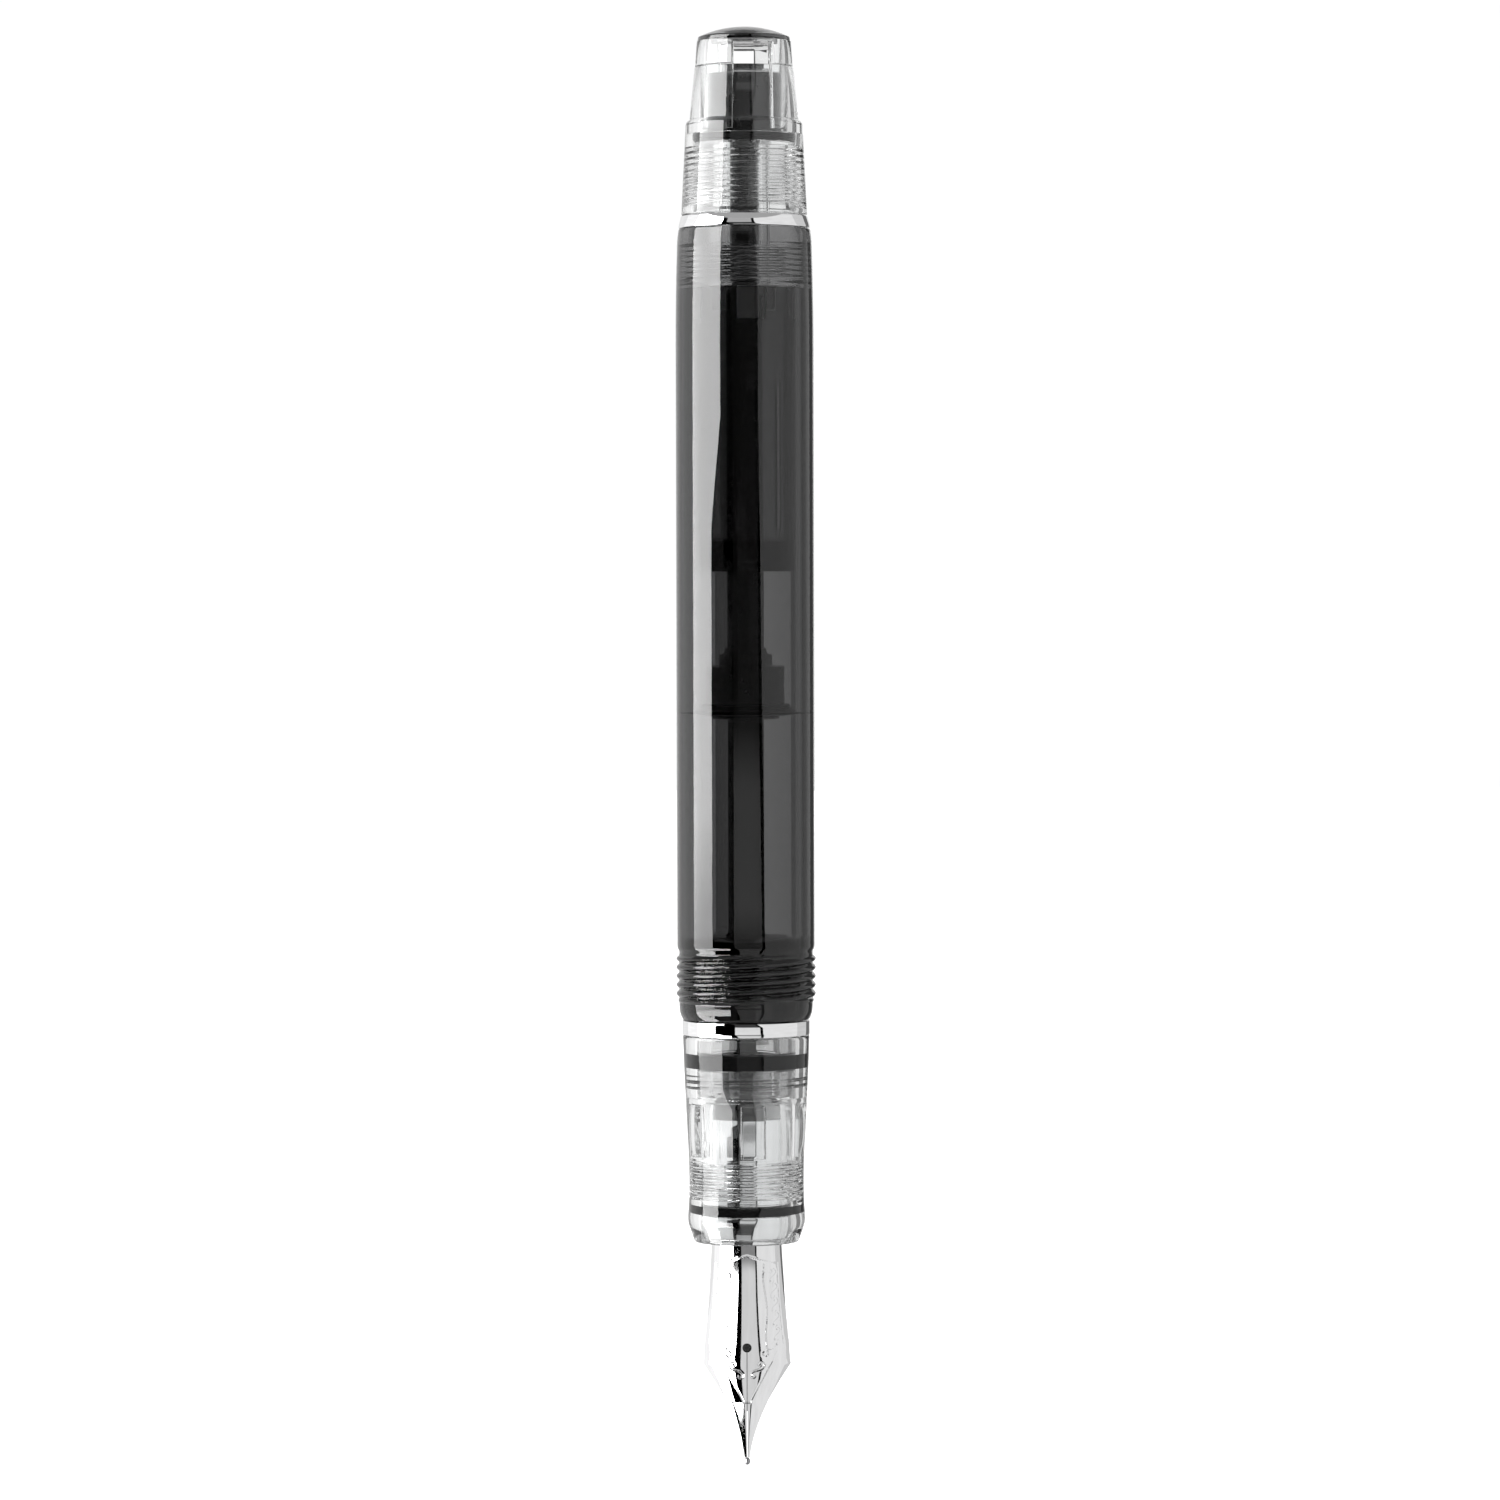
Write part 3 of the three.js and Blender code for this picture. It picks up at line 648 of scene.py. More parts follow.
def bent_surface(heights, shares, offset, extra=0.0):
    """Points on the nib's face: heights by shares (-1 to 1 across), offset outwards.

    extra is in degrees, and bends the surface further round than the nib.
    """
    bend = nib_bend(heights)[:, None] + math.radians(extra)
    true_bend = np.minimum(math.pi / 2, nib_bend(heights))[:, None]
    radius = nib_half_width(heights)[:, None] / np.sin(true_bend)
    centre = radius - nib_crown(heights)[:, None]
    angle = bend * shares[None, :]
    across = radius * np.sin(angle)
    out = np.maximum(0.02, radius + offset - fold(across, heights[:, None]))
    z = np.repeat(heights[:, None], len(shares), axis=1)
    return np.stack([out * np.sin(angle), centre - out * np.cos(angle), z], axis=2)


def on_nib_face(across, z):
    """The points of the nib's face at these places across and up."""
    radius = nib_half_width(z) / np.sin(np.minimum(math.pi / 2, nib_bend(z)))
    share = np.clip(across / radius, -0.999, 0.999)
    depth = radius - nib_crown(z) - radius * np.sqrt(1 - share**2)
    return np.stack([across, depth, z], axis=-1)


def sheet_solid(outer, inner):
    """A closed solid between two grids of points of the same shape."""
    rows, columns = outer.shape[:2]
    loops = [list(map(tuple, [*outer[r], *inner[r][::-1]])) for r in range(rows)]
    vertices, faces = lofted(loops, capped=False)
    size = 2 * columns
    last = (rows - 1) * size
    for i in range(columns - 1):
        mate = size - 1 - i
        faces.append((i, mate, mate - 1, i + 1))
        faces.append((last + i, last + i + 1, last + mate - 1, last + mate))
    return vertices, faces


SCROLL_TURN = 4.4  # radians an S-scroll winds at each end
SCROLL_POINTS = 110
# The scrolls of one half: (place across, height), length, and lean in radians.
SCROLLS = [((2.9 - 0.1 * k, 12.45 + 1.38 * k), 0.95, 0.15) for k in range(5)]
SCROLLS += [((0.98, 9.15), 1.15, -0.35), ((2.12, 11.1), 1.2, -0.5), ((1.95, 18.5), 0.75, -1.3)]
BORDER_LOW, BORDER_RISE, BORDER_INSET = 11.6, 7.6, 0.5
INNER_LOW, INNER_RISE = 10.6, 8.6
CHEVRON_TOP, CHEVRON_HALF, CHEVRON_DROP = 20.0, 2.85, 0.8
FIELD_FOOT = 0.36  # half the length of the line at the pointed field's foot
GROOVE_HALF = 0.11
GROOVE_DEPTH = 0.07


def scroll(centre, length, lean, side):
    """An S-shaped scroll: a line whose bend grows evenly towards both its ends."""
    path = np.cumsum(np.exp(1j * SCROLL_TURN * np.linspace(-1, 1, SCROLL_POINTS) ** 2))
    path -= path.mean()
    upright_turn = math.pi / 2 + lean - np.angle(path[-1])
    path *= length * np.exp(1j * upright_turn) / abs(path[-1] - path[0])
    return np.stack([side * (centre[0] + path.real), centre[1] + path.imag], axis=1)


def engraving():
    """Points along the ornament: border lines, a pointed field, a chevron and scrolls."""
    lines = []
    t = np.linspace(0, 1, 240)
    for side in (-1, 1):
        z = BORDER_LOW + BORDER_RISE * t
        lines.append(np.stack([side * (nib_half_width(z) - BORDER_INSET), z], axis=1))
        z = CREASE_LOW + (CREASE_TOP - CREASE_LOW) * t
        lines.append(np.stack([side * (crease(z) + 0.02), z], axis=1))
        lines.append(np.stack([side * CHEVRON_HALF * t, CHEVRON_TOP - CHEVRON_DROP * t], axis=1))
        z = INNER_LOW + INNER_RISE * t
        wave = 1.95 - 0.4 * t - 0.12 * np.sin(3 * math.pi * t)
        lines.append(np.stack([side * wave, z], axis=1))
        lines += [scroll(*shape, side) for shape in SCROLLS]
    foot = np.linspace(-FIELD_FOOT, FIELD_FOOT, 24)
    lines.append(np.stack([foot, np.full(len(foot), CREASE_LOW)], axis=1))
    points = np.concatenate(lines)
    return on_nib_face(points[:, 0], points[:, 1])


def engraved_depth(face):
    """How deep each point of the face lies below the polish, by its distance to a line."""
    ornament = engraving()
    tree = KDTree(len(ornament))
    for k, point in enumerate(ornament):
        tree.insert(point, k)
    tree.balance()
    gaps = np.array([tree.find(point)[2] for point in face.reshape(-1, 3)])
    groove = np.clip(1 - gaps / GROOVE_HALF, 0, 1).reshape(face.shape[:2])
    return GROOVE_DEPTH * groove * groove * (3 - 2 * groove)


BLADE_ROWS, WING_ROWS, REAR_ROWS = 120, 190, 12
NIB_COLUMNS = 145
VENT_SIDES = 40


def make_nib():
    """The bent and engraved sheet, with its vent hole and slit."""
    blade = np.linspace(NIB_LOW, SHOULDER, BLADE_ROWS)
    wings = np.linspace(SHOULDER, LIP, WING_ROWS)[1:]
    heights = np.concatenate([blade, wings, np.linspace(LIP, NIB_TOP, REAR_ROWS)[1:]])
    shares = np.linspace(-1, 1, NIB_COLUMNS)
    outer = bent_surface(heights, shares, -engraved_depth(bent_surface(heights, shares, 0)))
    inner = bent_surface(heights, shares, -nib_sheet(heights)[:, None])
    obj = new_object("nib_blade", *sheet_solid(outer, inner), sharp=NIB_CRISP)
    front, back = -6, 2  # in front of the nib and behind it
    ring = [2 * math.pi * k / VENT_SIDES for k in range(VENT_SIDES)]
    hole = [
        [(VENT_RADIUS * math.cos(a), y, VENT + VENT_RADIUS * math.sin(a)) for a in ring]
        for y in (front, 0)
    ]
    slit = [
        [(-w, front, z), (w, front, z), (w, back, z), (-w, back, z)]
        for z, w in ((-1, SLIT_HALF * 0.6), (VENT - 0.2, SLIT_HALF))
    ]
    carve(obj, [lofted(hole)], NIB_CRISP)
    carve(obj, [lofted(slit)], NIB_CRISP)
    finish_piece(obj, "barrel", STEEL, "nib")


PELLET_RINGS, PELLET_SIDES = 24, 40
PELLET_SHARES = (0.8, 0.9, 0.98)  # its width, depth and height, as shares of a ball's


def make_tipping():
    """A pellet: a ball, flattened a little where it writes."""
    front, back = [corner[1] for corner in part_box("nib_tipping")]
    radius = high("nib_tipping") / 2
    width, depth, height = PELLET_SHARES
    turns = [math.pi * k / PELLET_RINGS for k in range(PELLET_RINGS + 1)]
    profile = [(radius * math.sin(t), radius - height * radius * math.cos(t), 0) for t in turns]
    obj = revolve("tipping_pellet", profile, PELLET_SIDES)
    for vertex in obj.data.vertices:
        vertex.co.x *= width
        vertex.co.y = vertex.co.y * depth + (front + back) / 2
    finish_piece(obj, "barrel", TIP_ALLOY, "nib_tipping")


def make_feed():
    """A finned core that leans forward under the nib, and a plain rear inside the housing."""
    bottom, top = low("feed"), high("feed")
    radius, core, tail, lean = 3.28, 2.1, 2.4, 1.15
    fin_low, fin_spacing, fin_height = 9.5, 0.62, 0.3
    profile = [(0, bottom), (1.1, bottom, 0.3), (core, 9.2, 0.3)]
    z = fin_low
    while z < LIP - 1.0:
        out, fin_top = min(radius, 2.5 + (z - fin_low) * 0.13), z + fin_height
        profile += [(core, z, 0.03), (out, z, 0.08), (out, fin_top, 0.08), (core, fin_top, 0.03)]
        z += fin_spacing
    profile += [
        (core, LIP - 0.6),
        (radius, LIP - 0.3, 0.1),
        (radius, 34.1, 0.2),
        (tail, 34.9, 0.2),
        (tail, top, 0.3),
        (0, top),
    ]
    obj = revolve("feed_body", profile, 96, fillet=0.03)

    span = LIP - bottom
    for vertex in obj.data.vertices:
        share = max(0.0, LIP - vertex.co.z / MM) / span
        vertex.co.y -= lean * share**1.5 * MM

    # A thicker copy of the nib's sheet, bent further round, is cut away.
    in_front, gap, overlap = 4.0, 0.04, 8
    heights = np.append(np.linspace(bottom - 1, LIP, 40), [LIP + 3, NIB_TOP + 0.1])
    shares = np.linspace(-1, 1, 41)
    outer = bent_surface(heights, shares, in_front, overlap)
    inner = bent_surface(heights, shares, -nib_sheet(heights)[:, None] - gap, overlap)
    carve(obj, [sheet_solid(outer, inner)])
    finish_piece(obj, "barrel", FEED_SMOKE, "feed")


# ---- piston ----

STEM = 2.0
STEM_FLAT = 1.65  # from the axis to a flat
STEM_BORE_FLOOR = 77.0  # the spindle's bore and the flats end here
WEB_LOW, WEB_TOP = 72.2, 72.7  # the hub's wall between the nose's socket and the stem's
SOCKET = 1.0  # radius of the nose's socket


def make_piston():
    """The hub, its lip seal and the nose that holds the seal."""
    bottom, top, radius = extent("piston_head")
    seal_low, seal_high = low("piston_seal"), high("piston_seal")
    head = [
        (0, WEB_LOW),
        (SOCKET, WEB_LOW),
        (SOCKET, bottom),
        (3.2, bottom, 0.1),
        (3.2, seal_low - 0.05),
        (2.6, seal_low - 0.05),
        (2.6, seal_high + 0.05),
        (radius, seal_high + 0.05, 0.08),
        (radius, seal_high + 1.5, 0),
        (radius - 0.08, seal_high + 1.6, 0.03),
        (radius - 0.08, seal_high + 1.9, 0.03),
        (radius, seal_high + 2.0, 0.03),
        (radius, top, 0.15),
        (1.45, top),
        (1.45, WEB_TOP),
        (0, WEB_TOP),
    ]
    obj = revolve("piston_hub", head, 96)
    finish_piece(obj, "piston", PLASTIC, "piston_head")

    lip = SEAL_BORE + 0.01
    seal = [
        (2.64, seal_low),
        (lip - 0.7, seal_low, 0.1),
        (lip, seal_low + 0.18, 0.08),
        (lip, seal_low + 0.42, 0.08),
        (lip - 0.55, seal_low + 0.62, 0.1),
        (lip - 0.7, seal_high, 0.1),
        (2.64, seal_high),
    ]
    obj = revolve("piston_seal_lip", seal, 128)
    finish_piece(obj, "piston", RUBBER, "piston_seal")

    nose = low("piston_plug")
    plug = [
        (0, nose),
        (0.5, nose, 0),
        (0.55, nose + 0.12, 0.02),
        (0.9, nose + 0.12, 0.02),
        (0.95, nose, 0.02),
        (1.55, nose, 0.1),
        (1.7, nose + 0.18, 0.1),
        (1.7, bottom - 0.05),
        (SOCKET - 0.06, bottom - 0.05),
        (SOCKET - 0.06, WEB_LOW - 0.1),
        (0, WEB_LOW - 0.1),
    ]
    obj = revolve("piston_nose", plug, 64)
    finish_piece(obj, "piston", PLASTIC, "piston_plug")


def make_stem():
    bottom, top, flange = extent("piston_stem")
    hub_top = high("piston_head")
    profile = [
        (0, bottom),
        (1.35, bottom, 0.05),
        (1.35, hub_top + 0.1),
        (flange, hub_top + 0.1, 0.08),
        (flange, hub_top + 1.1, 0.1),
        (STEM, hub_top + 1.2, 0.2),
        (STEM, top, 0.1),
        (1.5, top, 0.05),
        (1.5, STEM_BORE_FLOOR),
        (0, STEM_BORE_FLOOR),
    ]
    obj = revolve("stem_rod", profile, 64)
    middle, length = (STEM_BORE_FLOOR + top) / 2 + 1, top - STEM_BORE_FLOOR + 2
    flats = [slab((side * (STEM_FLAT + 1), 0, middle), (2, 6, length)) for side in (-1, 1)]
    carve(obj, flats)
    finish_piece(obj, "piston", PLASTIC, "piston_stem")


# ---- filling mechanism ----

TOOTH_ANGLE = 4.5  # degrees from the nib's face to the first tooth's middle, towards +X
TOOTH_HALF = 12.5
TOOTH_SLOPE = 6.5  # degrees taken by a tooth's sloping flank
SLEEVE_WALL = 0.5
SLEEVE_FLOOR = 2.7
SLOT_COUNT = 6
SLOT_HALF = 0.45  # millimetres
SLOT_LOW, SLOT_TOP = 1, 14.2  # above the sleeve's floor
WINDOW_ANGLE = 34  # the smooth window in the collar's thread
WINDOW_HALF = 21
NECK = 4.9
NECK_ROOT = NECK - 0.16
NECK_THREAD_LOW = 118.4
SPINDLE_LEAD = 7.6
SPINDLE_STARTS = 2


def make_sleeve():
    """The slotted sleeve, with a notch for each of the collar's teeth."""
    bottom, top, radius = extent("guide_sleeve")
    inner, floor_top = radius - SLEEVE_WALL, bottom + SLEEVE_FLOOR
    profile = [
        (STEM + 0.1, bottom, 0.15),
        (radius, bottom, 0.12),
        (radius, top, 0.08),
        (inner, top, 0.08),
        (inner, floor_top, 0.3),
        (STEM + 0.1, floor_top, 0.15),
    ]
    obj = revolve("guide_sleeve_tube", profile, 128)
    half = math.degrees(SLOT_HALF / radius)
    slot = (4, 5, floor_top + SLOT_LOW, floor_top + SLOT_TOP)
    slots = around(SLOT_COUNT, KEY_ANGLE, lambda angle: sector(*slot, angle, half))
    notch = (4, 5, low("retaining_collar") - 0.1, top + 1)
    notches = around(
        KEY_COUNT, TOOTH_ANGLE, lambda angle: sector(*notch, angle, TOOTH_HALF + 6)
    )
    soften(carve(obj, slots + notches), 0.11)
    finish_piece(obj, "barrel", SLEEVE_SMOKE, "guide_sleeve")


def tooth(inner, outer, bottom, top, centre):
    """One of the collar's teeth as (vertices, faces), with one flank sloping."""
    start = centre - 90 - TOOTH_HALF
    end = centre - 90 + TOOTH_HALF
    outside = np.radians(np.linspace(start, end - TOOTH_SLOPE, 9))
    inside = np.radians(np.linspace(end, start, 12))
    loop = [(outer * math.cos(a), outer * math.sin(a)) for a in outside]
    loop += [(inner * math.cos(a), inner * math.sin(a)) for a in inside]
    return lofted([[(x, y, z) for x, y in loop] for z in (bottom, top - 0.01)])


def make_collar():
    """The threaded body with the knob's neck, and the frosted teeth under it."""
    bottom, top = low("retaining_collar"), high("retaining_collar")
    radius, bore = reach("retaining_collar") - 0.02, 1.6
    body_low, shoulder, thread_top = REAR_STEP + 0.1, low("rear_trim_ring") - 0.13, top - 0.4
    outer_thread = Helix(radius, *REAR_THREAD, 0.16)
    neck_thread = Helix(NECK_ROOT, NECK_THREAD_LOW, thread_top, FINE_PITCH, 0.16)
    profile = [
        (bore, body_low, 0.2),
        (radius, body_low, 0.08),
        *outer_thread.rows(),
        (radius, shoulder, 0.08),
        (NECK, shoulder, 0.05),
        (NECK, 118.1, 0.05),
        *neck_thread.rows(),
        (NECK_ROOT, top, 0.2),
        (bore, top, 0.2),
    ]
    obj = revolve("collar_body", profile, 144, (outer_thread, neck_thread))
    carve(obj, [sector(4.5, 6, 118.2, thread_top, WINDOW_ANGLE, WINDOW_HALF)])
    finish_piece(obj, "barrel", CLEAR, "retaining_collar")

    outer = reach("guide_sleeve")
    size = (outer - SLEEVE_WALL + 0.04, outer, bottom, body_low)
    teeth = merged(around(KEY_COUNT, TOOTH_ANGLE, lambda angle: tooth(*size, angle)))
    obj = soften(new_object("collar_teeth", *teeth), 0.07)
    finish_piece(obj, "barrel", FROSTED, "retaining_collar")


def make_spindle():
    bottom, top = low("spindle_screw"), high("spindle_screw")
    root, crest, thread_top = 1.02, reach("spindle_screw"), 111
    spacing, height = SPINDLE_LEAD / SPINDLE_STARTS, crest - root
    thread = Helix(root, bottom + 0.5, thread_top, spacing, height, SPINDLE_STARTS, 1.0, 0.6)
    profile = [
        (0, bottom),
        (root - 0.2, bottom, 0.1),
        *thread.rows(16),
        (crest - 0.05, thread_top + 0.5, 0.1),
        (crest - 0.05, top, 0.05),
        (0, top),
    ]
    obj = revolve("spindle_rod", profile, 48, (thread,))
    finish_piece(obj, "knob", PLASTIC, "spindle_screw")

    bottom, top, radius = extent("spindle_head")
    socket, socket_top = crest + 0.03, 129.5
    head = [
        (0, socket_top),
        (socket, socket_top),
        (socket, bottom),
        (radius, bottom, 0.15),
        (radius, top, 0.3),
        (0, top),
    ]
    obj = revolve("spindle_core", head, 96)
    finish_piece(obj, "knob", PLASTIC, "spindle_head")


# ---- knob ----

KNOB_JOINT = high("knob_shell") - 0.46  # where the shell ends and the insert's flange shows


def make_knob_shell():
    bottom, skirt = low("knob_shell"), reach("knob_shell")
    bore, washer_top, insert_bore = 4.92, high("knob_washer") + 0.06, 4.15
    thread = Helix(bore, NECK_THREAD_LOW, 124.2, FINE_PITCH, 0.16)
    shell = [
        (bore, bottom, 0.1),
        (skirt, bottom, 0.1),
        (5.5, 126.4, 0.08),
        (5.36, 126.62, 0.1),
        (5.13, 126.72, 0.08),
        (4.66, KNOB_JOINT, 0.06),
        (insert_bore, KNOB_JOINT, 0.04),
        (insert_bore, washer_top),
        (bore, washer_top),
        *thread.rows()[::-1],
    ]
    obj = revolve("knob_body", shell, 160, (thread,))
    finish_piece(obj, "knob", CLEAR, "knob_shell")


INSERT_BORE = 3.62
INSERT_RADIUS = 4.08
INSERT_ANGLE = 12.0  # degrees from the nib's face to the first window's middle, towards +X
INSERT_HALF = 27


def make_knob_insert():
    """A cup with a flange and two wide windows."""
    bottom, top = low("knob_insert"), high("knob_insert")
    flange_low, flange, crown = KNOB_JOINT + 0.12, reach("knob_insert"), 4.43
    insert = [
        (INSERT_BORE, bottom, 0.1),
        (INSERT_RADIUS, bottom, 0.1),
        (INSERT_RADIUS, flange_low),
        (flange, flange_low, 0.06),
        (crown, top, 0.05),
        (INSERT_BORE, top, 0.05),
    ]
    obj = revolve("knob_insert_cup", insert, 128)
    window = (3, 6, bottom - 1, top - 0.3)
    carve(obj, around(2, INSERT_ANGLE, lambda angle: sector(*window, angle, INSERT_HALF)))
    finish_piece(obj, "knob", CLEAR, "knob_insert")


def make_finial():
    """A short wall under a dome, with a spigot that sits in the insert."""
    bottom, top = low("knob_finial"), high("knob_finial")
    rim, rim_radius, crown = high("knob_shell") + 1.95, reach("knob_finial"), top - 0.08
    edge, dome_radius = rim_radius - 0.05, 10.0
    dome = [
        (r, crown - dome_radius + math.sqrt(dome_radius**2 - r * r), 0.08 if r == edge else 0)
        for r in np.linspace(edge, 0, 15)
    ]
    spigot, spigot_bore, spigot_low = 3.15, 2.85, rim - (rim - bottom) * 0.4
    profile = [
        (0, rim - 0.05),
        (spigot_bore, rim - 0.05, 0.1),
        (spigot_bore, spigot_low, 0.05),
        (spigot, spigot_low, 0.1),
        (spigot, rim),
        (rim_radius, rim, 0.06),
        *dome,
    ]
    obj = revolve("finial_dome", profile, 128)
    finish_piece(obj, "knob", FINIAL_SMOKE, "knob_finial")


def make_washer():
    (bottom, top, radius), bore = extent("knob_washer"), 1.5
    profile = [(bore, bottom), (radius, bottom, 0.1), (radius, top, 0.1), (bore, top)]
    obj = revolve("friction_washer", profile, 128)
    finish_piece(obj, "washer", RUBBER, "knob_washer")


# ---- camera, light and floor ----

CAMERA_DISTANCE = 0.556
CAMERA_HEIGHT = 0.081
AIM_HEIGHT = 0.0675
SIDE_STEP = 0.00042
SENSOR, LENS = 36, 141.5  # millimetres
ROLL = -0.14  # degrees
TENT_RADIUS = 0.7
SOFTBOX_RADIUS = 0.69
SOFTBOX_LEFT = -97  # degrees
PANEL_COLUMNS = 12
DISC_SIDES = 48
BEHIND_PEN = 0.04
FLAG_LOW, FLAG_TOP = -0.02, 0.133
FLOOR_HEIGHT = -0.03


def make_camera():
    data = bpy.data.cameras.new("camera")
    data.sensor_width, data.lens = SENSOR, LENS
    camera = bpy.data.objects.new("camera", data)
    bpy.context.scene.collection.objects.link(camera)
    camera.location = (SIDE_STEP, -CAMERA_DISTANCE, CAMERA_HEIGHT)
    ahead = Vector((SIDE_STEP, 0, AIM_HEIGHT)) - camera.location
    camera.rotation_euler = ahead.to_track_quat("-Z", "Y").to_euler()
    camera.rotation_euler.rotate_axis("Z", math.radians(ROLL))
    bpy.context.scene.camera = camera


def emitter(name, level):
    """A glowing material. level is its brightness, or a list of (height, brightness) corners."""
    material = bpy.data.materials.new(name)
    material.use_nodes = True
    nodes = material.node_tree.nodes
    nodes.clear()
    emission = nodes.new("ShaderNodeEmission")
    output = nodes.new("ShaderNodeOutputMaterial")
    link(material, emission.outputs[0], output.inputs["Surface"])
    if not isinstance(level, list):
        emission.inputs["Strength"].default_value = level
        return material
    heights, levels = zip(*level)
    place = nodes.new("ShaderNodeSeparateXYZ")
    link(material, nodes.new("ShaderNodeTexCoord").outputs["Object"], place.inputs[0])
    share = spread(material, place.outputs["Z"], 0, 1, heights[0], heights[-1])
    ramp = nodes.new("ShaderNodeValToRGB")
    link(material, share, ramp.inputs["Fac"])
    stops = ramp.color_ramp.elements
    for height in heights[1:-1]:
        stops.new((height - heights[0]) / (heights[-1] - heights[0]))
    for stop, value in zip(stops, levels):
        stop.color = (*[value / max(levels)] * 3, 1)
    link(material, ramp.outputs["Color"], emission.inputs["Color"])
    emission.inputs["Strength"].default_value = max(levels)
    return material


def stage_piece(name, vertices, faces, level, seen_through=True):
    """A studio surface in metres that lights and reflects, but isn't in the picture itself."""
    mesh = bpy.data.meshes.new(name)
    mesh.from_pydata(vertices, [], faces)
    obj = bpy.data.objects.new(name, mesh)
    bpy.context.scene.collection.objects.link(obj)
    mesh.materials.append(emitter(name, level))
    obj.visible_camera = False
    obj.visible_shadow = False
    obj.visible_transmission = seen_through


def around_pen(angle, distance, height):
    """A place round the pen: degrees from the camera, positive to the right."""
    a = math.radians(angle)
    return (math.sin(a) * distance, -math.cos(a) * distance, height)


def edge_angle(edge, height):
    """A panel edge's angle at a height. An edge is one angle, or (height, angle) corners."""
    return np.interp(height, *zip(*edge)) if isinstance(edge, list) else edge


def panel(name, start, end, level, distance=TENT_RADIUS, seen_through=True):
    """A curved upright panel of the light tent between two edges."""
    vertices = []
    for z in TENT_HEIGHTS:
        left, right = edge_angle(start, z), edge_angle(end, z)
        for k in range(PANEL_COLUMNS + 1):
            angle = left * (1 - k / PANEL_COLUMNS) + right * k / PANEL_COLUMNS
            vertices.append(around_pen(angle, distance, z))
    size = PANEL_COLUMNS + 1
    faces = [
        (i, i + 1, i + size + 1, i + size)
        for row in range(len(TENT_HEIGHTS) - 1)
        for i in range(row * size, row * size + PANEL_COLUMNS)
    ]
    stage_piece(name, vertices, faces, level, seen_through)


def disc(name, height, level):
    """The light tent's lid or its floor."""
    angles = [360 * k / DISC_SIDES for k in range(DISC_SIDES)]
    vertices = [around_pen(angle, TENT_RADIUS, height) for angle in angles]
    stage_piece(name, vertices, [tuple(range(DISC_SIDES))], level)


def upright(name, left, right, level, top=FLAG_TOP):
    """A narrow flat flag behind the pen, between two x positions."""
    corners = [(left, FLAG_LOW), (right, FLAG_LOW), (right, top), (left, top)]
    vertices = [(x, BEHIND_PEN, z) for x, z in corners]
    stage_piece(name, vertices, [(0, 1, 2, 3)], level)


# The softbox's right edge, as (height, degrees) corners. Every panel has its rows at these heights.
SOFTBOX_EDGE = [(-0.8, -64), (-0.355, -64), (-0.345, -75), (-0.29, -75), (-0.284, -27)]
SOFTBOX_EDGE += [(-0.09, -27), (-0.078, -45), (-0.043, -45), (-0.033, -58), (0.0855, -58)]
SOFTBOX_EDGE += [(0.117, -41), (0.38, -41), (0.6, -41)]
TENT_HEIGHTS = [height for height, _ in SOFTBOX_EDGE]
# The edges of the black flags on both sides of the front panel, as (height, degrees) corners.
FLAG_EDGE = [(-0.145, -12), (-0.03, -20), (0.117, -20), (0.38, -32)]
RIGHT_FLAG = [(-0.013, 27), (0.063, 21), (0.135, 16), (0.38, 13)]
RIGHT_EDGE = [(-0.013, 32), (0.063, 26), (0.135, 21), (0.38, 18)]
# The front panel's and the softbox's brightness, as (height, brightness) corners.
FRONT_LEVEL = [(-0.45, 0.72), (-0.09, 0.72), (-0.075, 0.25), (-0.04, 0.25), (-0.028, 0.85)]
FRONT_LEVEL += [(0.008, 0.75), (0.028, 0.08), (0.06, 0.05), (0.332, 0.05), (0.346, 0.45)]
FRONT_LEVEL += [(0.6, 0.45)]
SOFTBOX = [(-0.45, 11.0), (-0.11, 11.0), (-0.09, 6.5), (-0.02, 6.5), (0.01, 11.0), (0.6, 11.0)]
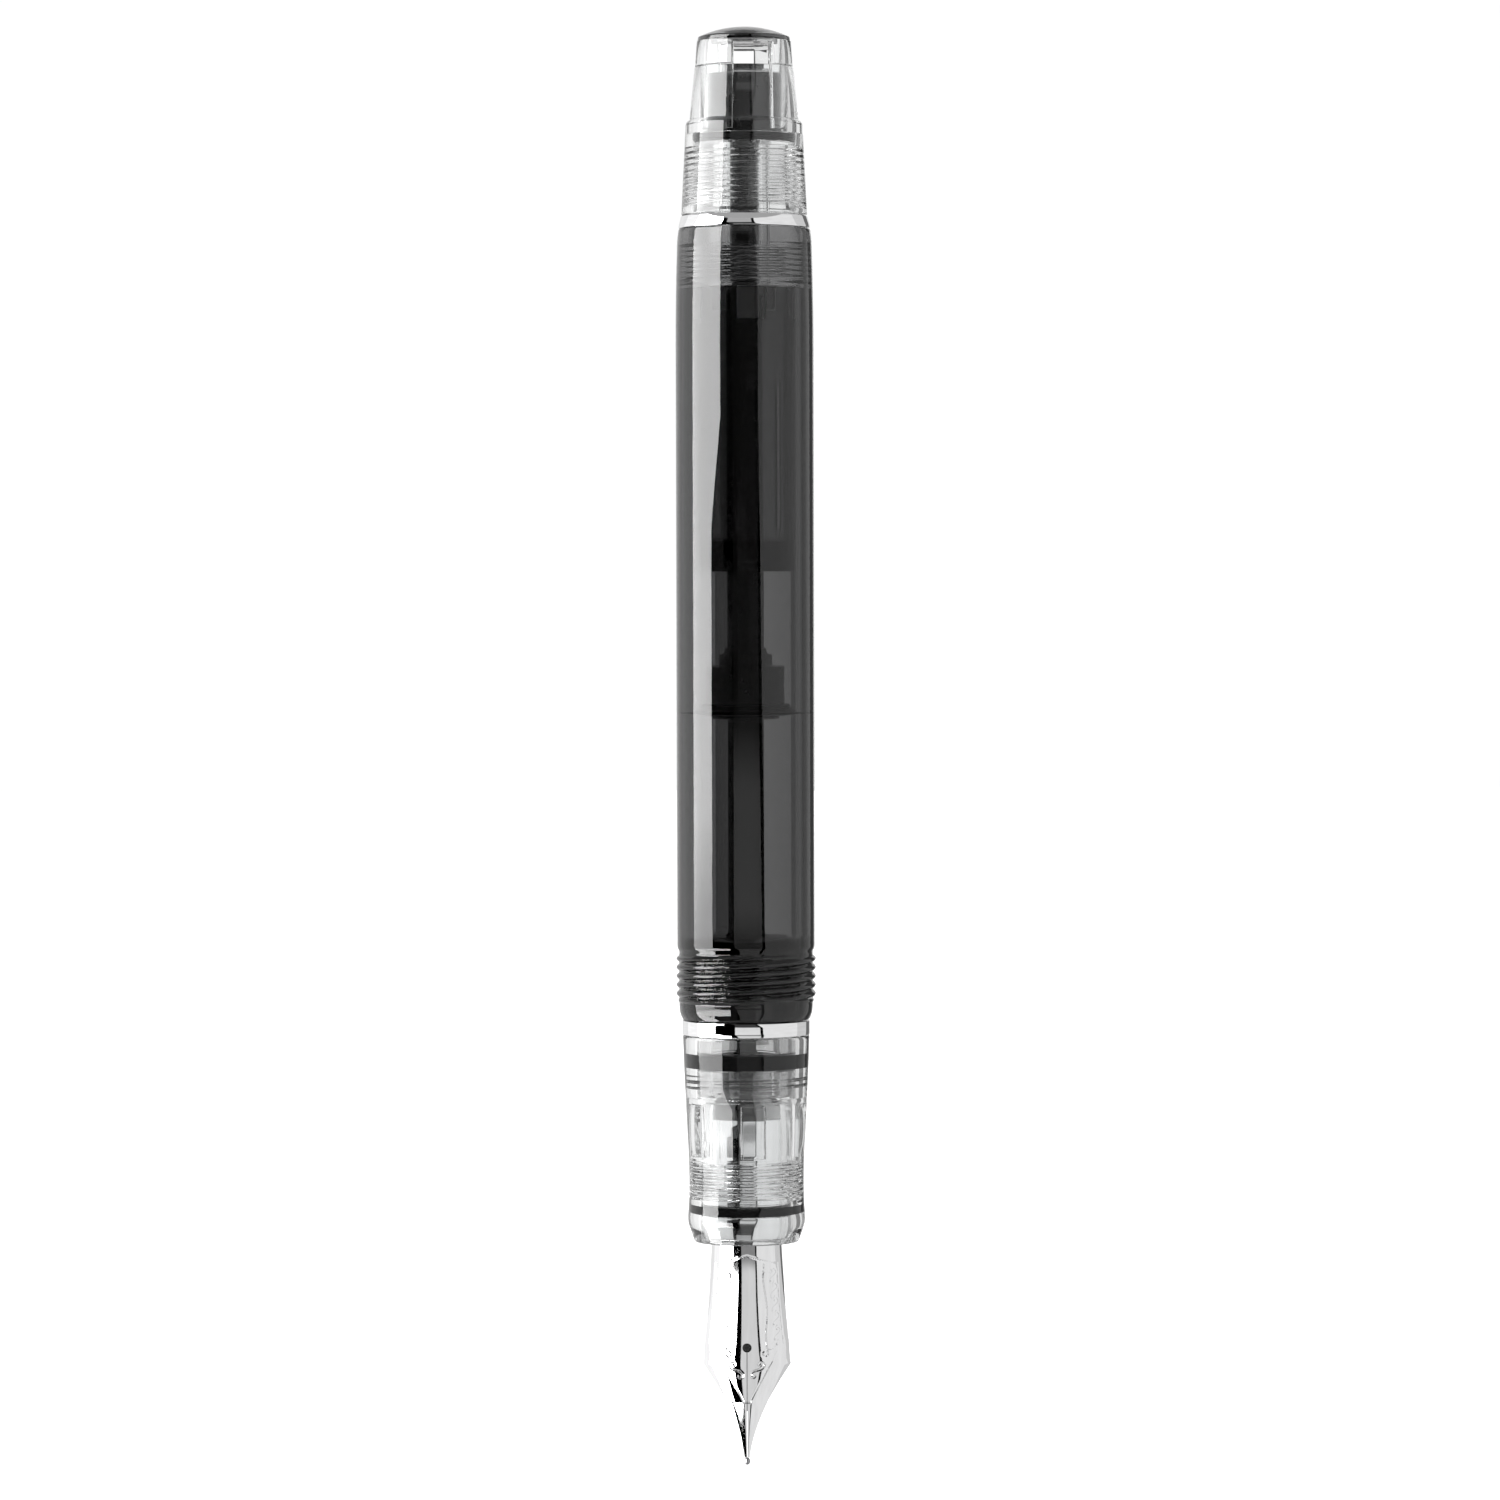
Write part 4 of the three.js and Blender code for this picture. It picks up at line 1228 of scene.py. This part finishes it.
# The light tent: each panel's left and right edge, in degrees from the camera, and brightness.
TENT = [
    ("back_left", -180, -156, 0.85),
    ("glow_left", -156, -130, 0.9),
    ("side_left", -130, SOFTBOX_LEFT, 1.1),
    ("behind_softbox", SOFTBOX_LEFT, SOFTBOX_EDGE, 0.8),
    ("flag_left", SOFTBOX_EDGE, FLAG_EDGE, 0.0),
    ("front", FLAG_EDGE, RIGHT_FLAG, FRONT_LEVEL),
    ("flag_right", RIGHT_FLAG, RIGHT_EDGE, 0.0),
    ("side_right", RIGHT_EDGE, 105, 0.85),
    ("dim_right", 105, 138, 0.65),
    ("shade_right", 138, 158, 0.15),
    ("back_right", 158, 180, 0.85),
]
BACKGROUND = 1.02
CEILING, LOWER = 0.4, 0.6  # brightness of the tent's lid and of its floor


def make_studio():
    """A white background, and the light tent that the pen reflects."""
    scene = bpy.context.scene
    scene.view_settings.view_transform = "Standard"
    scene.cycles.max_bounces = 32
    scene.cycles.transmission_bounces = 32
    scene.cycles.glossy_bounces = 12
    world = bpy.data.worlds.new("studio")
    scene.world = world
    world.use_nodes = True
    background = world.node_tree.nodes["Background"]
    background.inputs["Color"].default_value = (1, 1, 1, 1)
    background.inputs["Strength"].default_value = BACKGROUND
    for name, start, end, level in TENT:
        panel(name, start, end, level)
    panel("softbox", SOFTBOX_LEFT, SOFTBOX_EDGE, SOFTBOX, SOFTBOX_RADIUS, seen_through=False)
    disc("ceiling", TENT_HEIGHTS[-1], CEILING)
    disc("lower", TENT_HEIGHTS[0], LOWER)
    upright("flag_behind", -0.0043, 0.0045, 0.0)
    upright("shade_behind", -0.0085, -0.0043, 0.35)
    upright("shade_low", 0.0045, 0.013, 0.35, top=0.038)


def make_floor():
    work = bmesh.new()
    bmesh.ops.create_grid(work, x_segments=8, y_segments=8, size=3)
    mesh = bpy.data.meshes.new("floor")
    work.to_mesh(mesh)
    work.free()
    floor = bpy.data.objects.new("floor", mesh)
    floor.location = (0, 0, FLOOR_HEIGHT)
    bpy.context.scene.collection.objects.link(floor)
    material, shader = principled("floor", Base_Color=(0.9, 0.9, 0.9, 1), Roughness=0.9)
    shader.inputs["Emission Color"].default_value = (1, 1, 1, 1)
    shader.inputs["Emission Strength"].default_value = 0.7
    mesh.materials.append(material)
    floor.visible_glossy = False
    floor.visible_transmission = False


make_camera()
make_studio()
make_floor()
make_barrel()
make_trim_rings()
make_o_ring("tenon_o_ring", "section_o_ring", inner=3.98)
make_o_ring("front_o_ring", "housing_o_ring", inner=3.78)
make_grip()
make_housing()
make_nib()
make_tipping()
make_feed()
make_piston()
make_stem()
make_sleeve()
make_collar()
make_spindle()
make_knob_shell()
make_knob_insert()
make_finial()
make_washer()

bpy.context.view_layer.update()
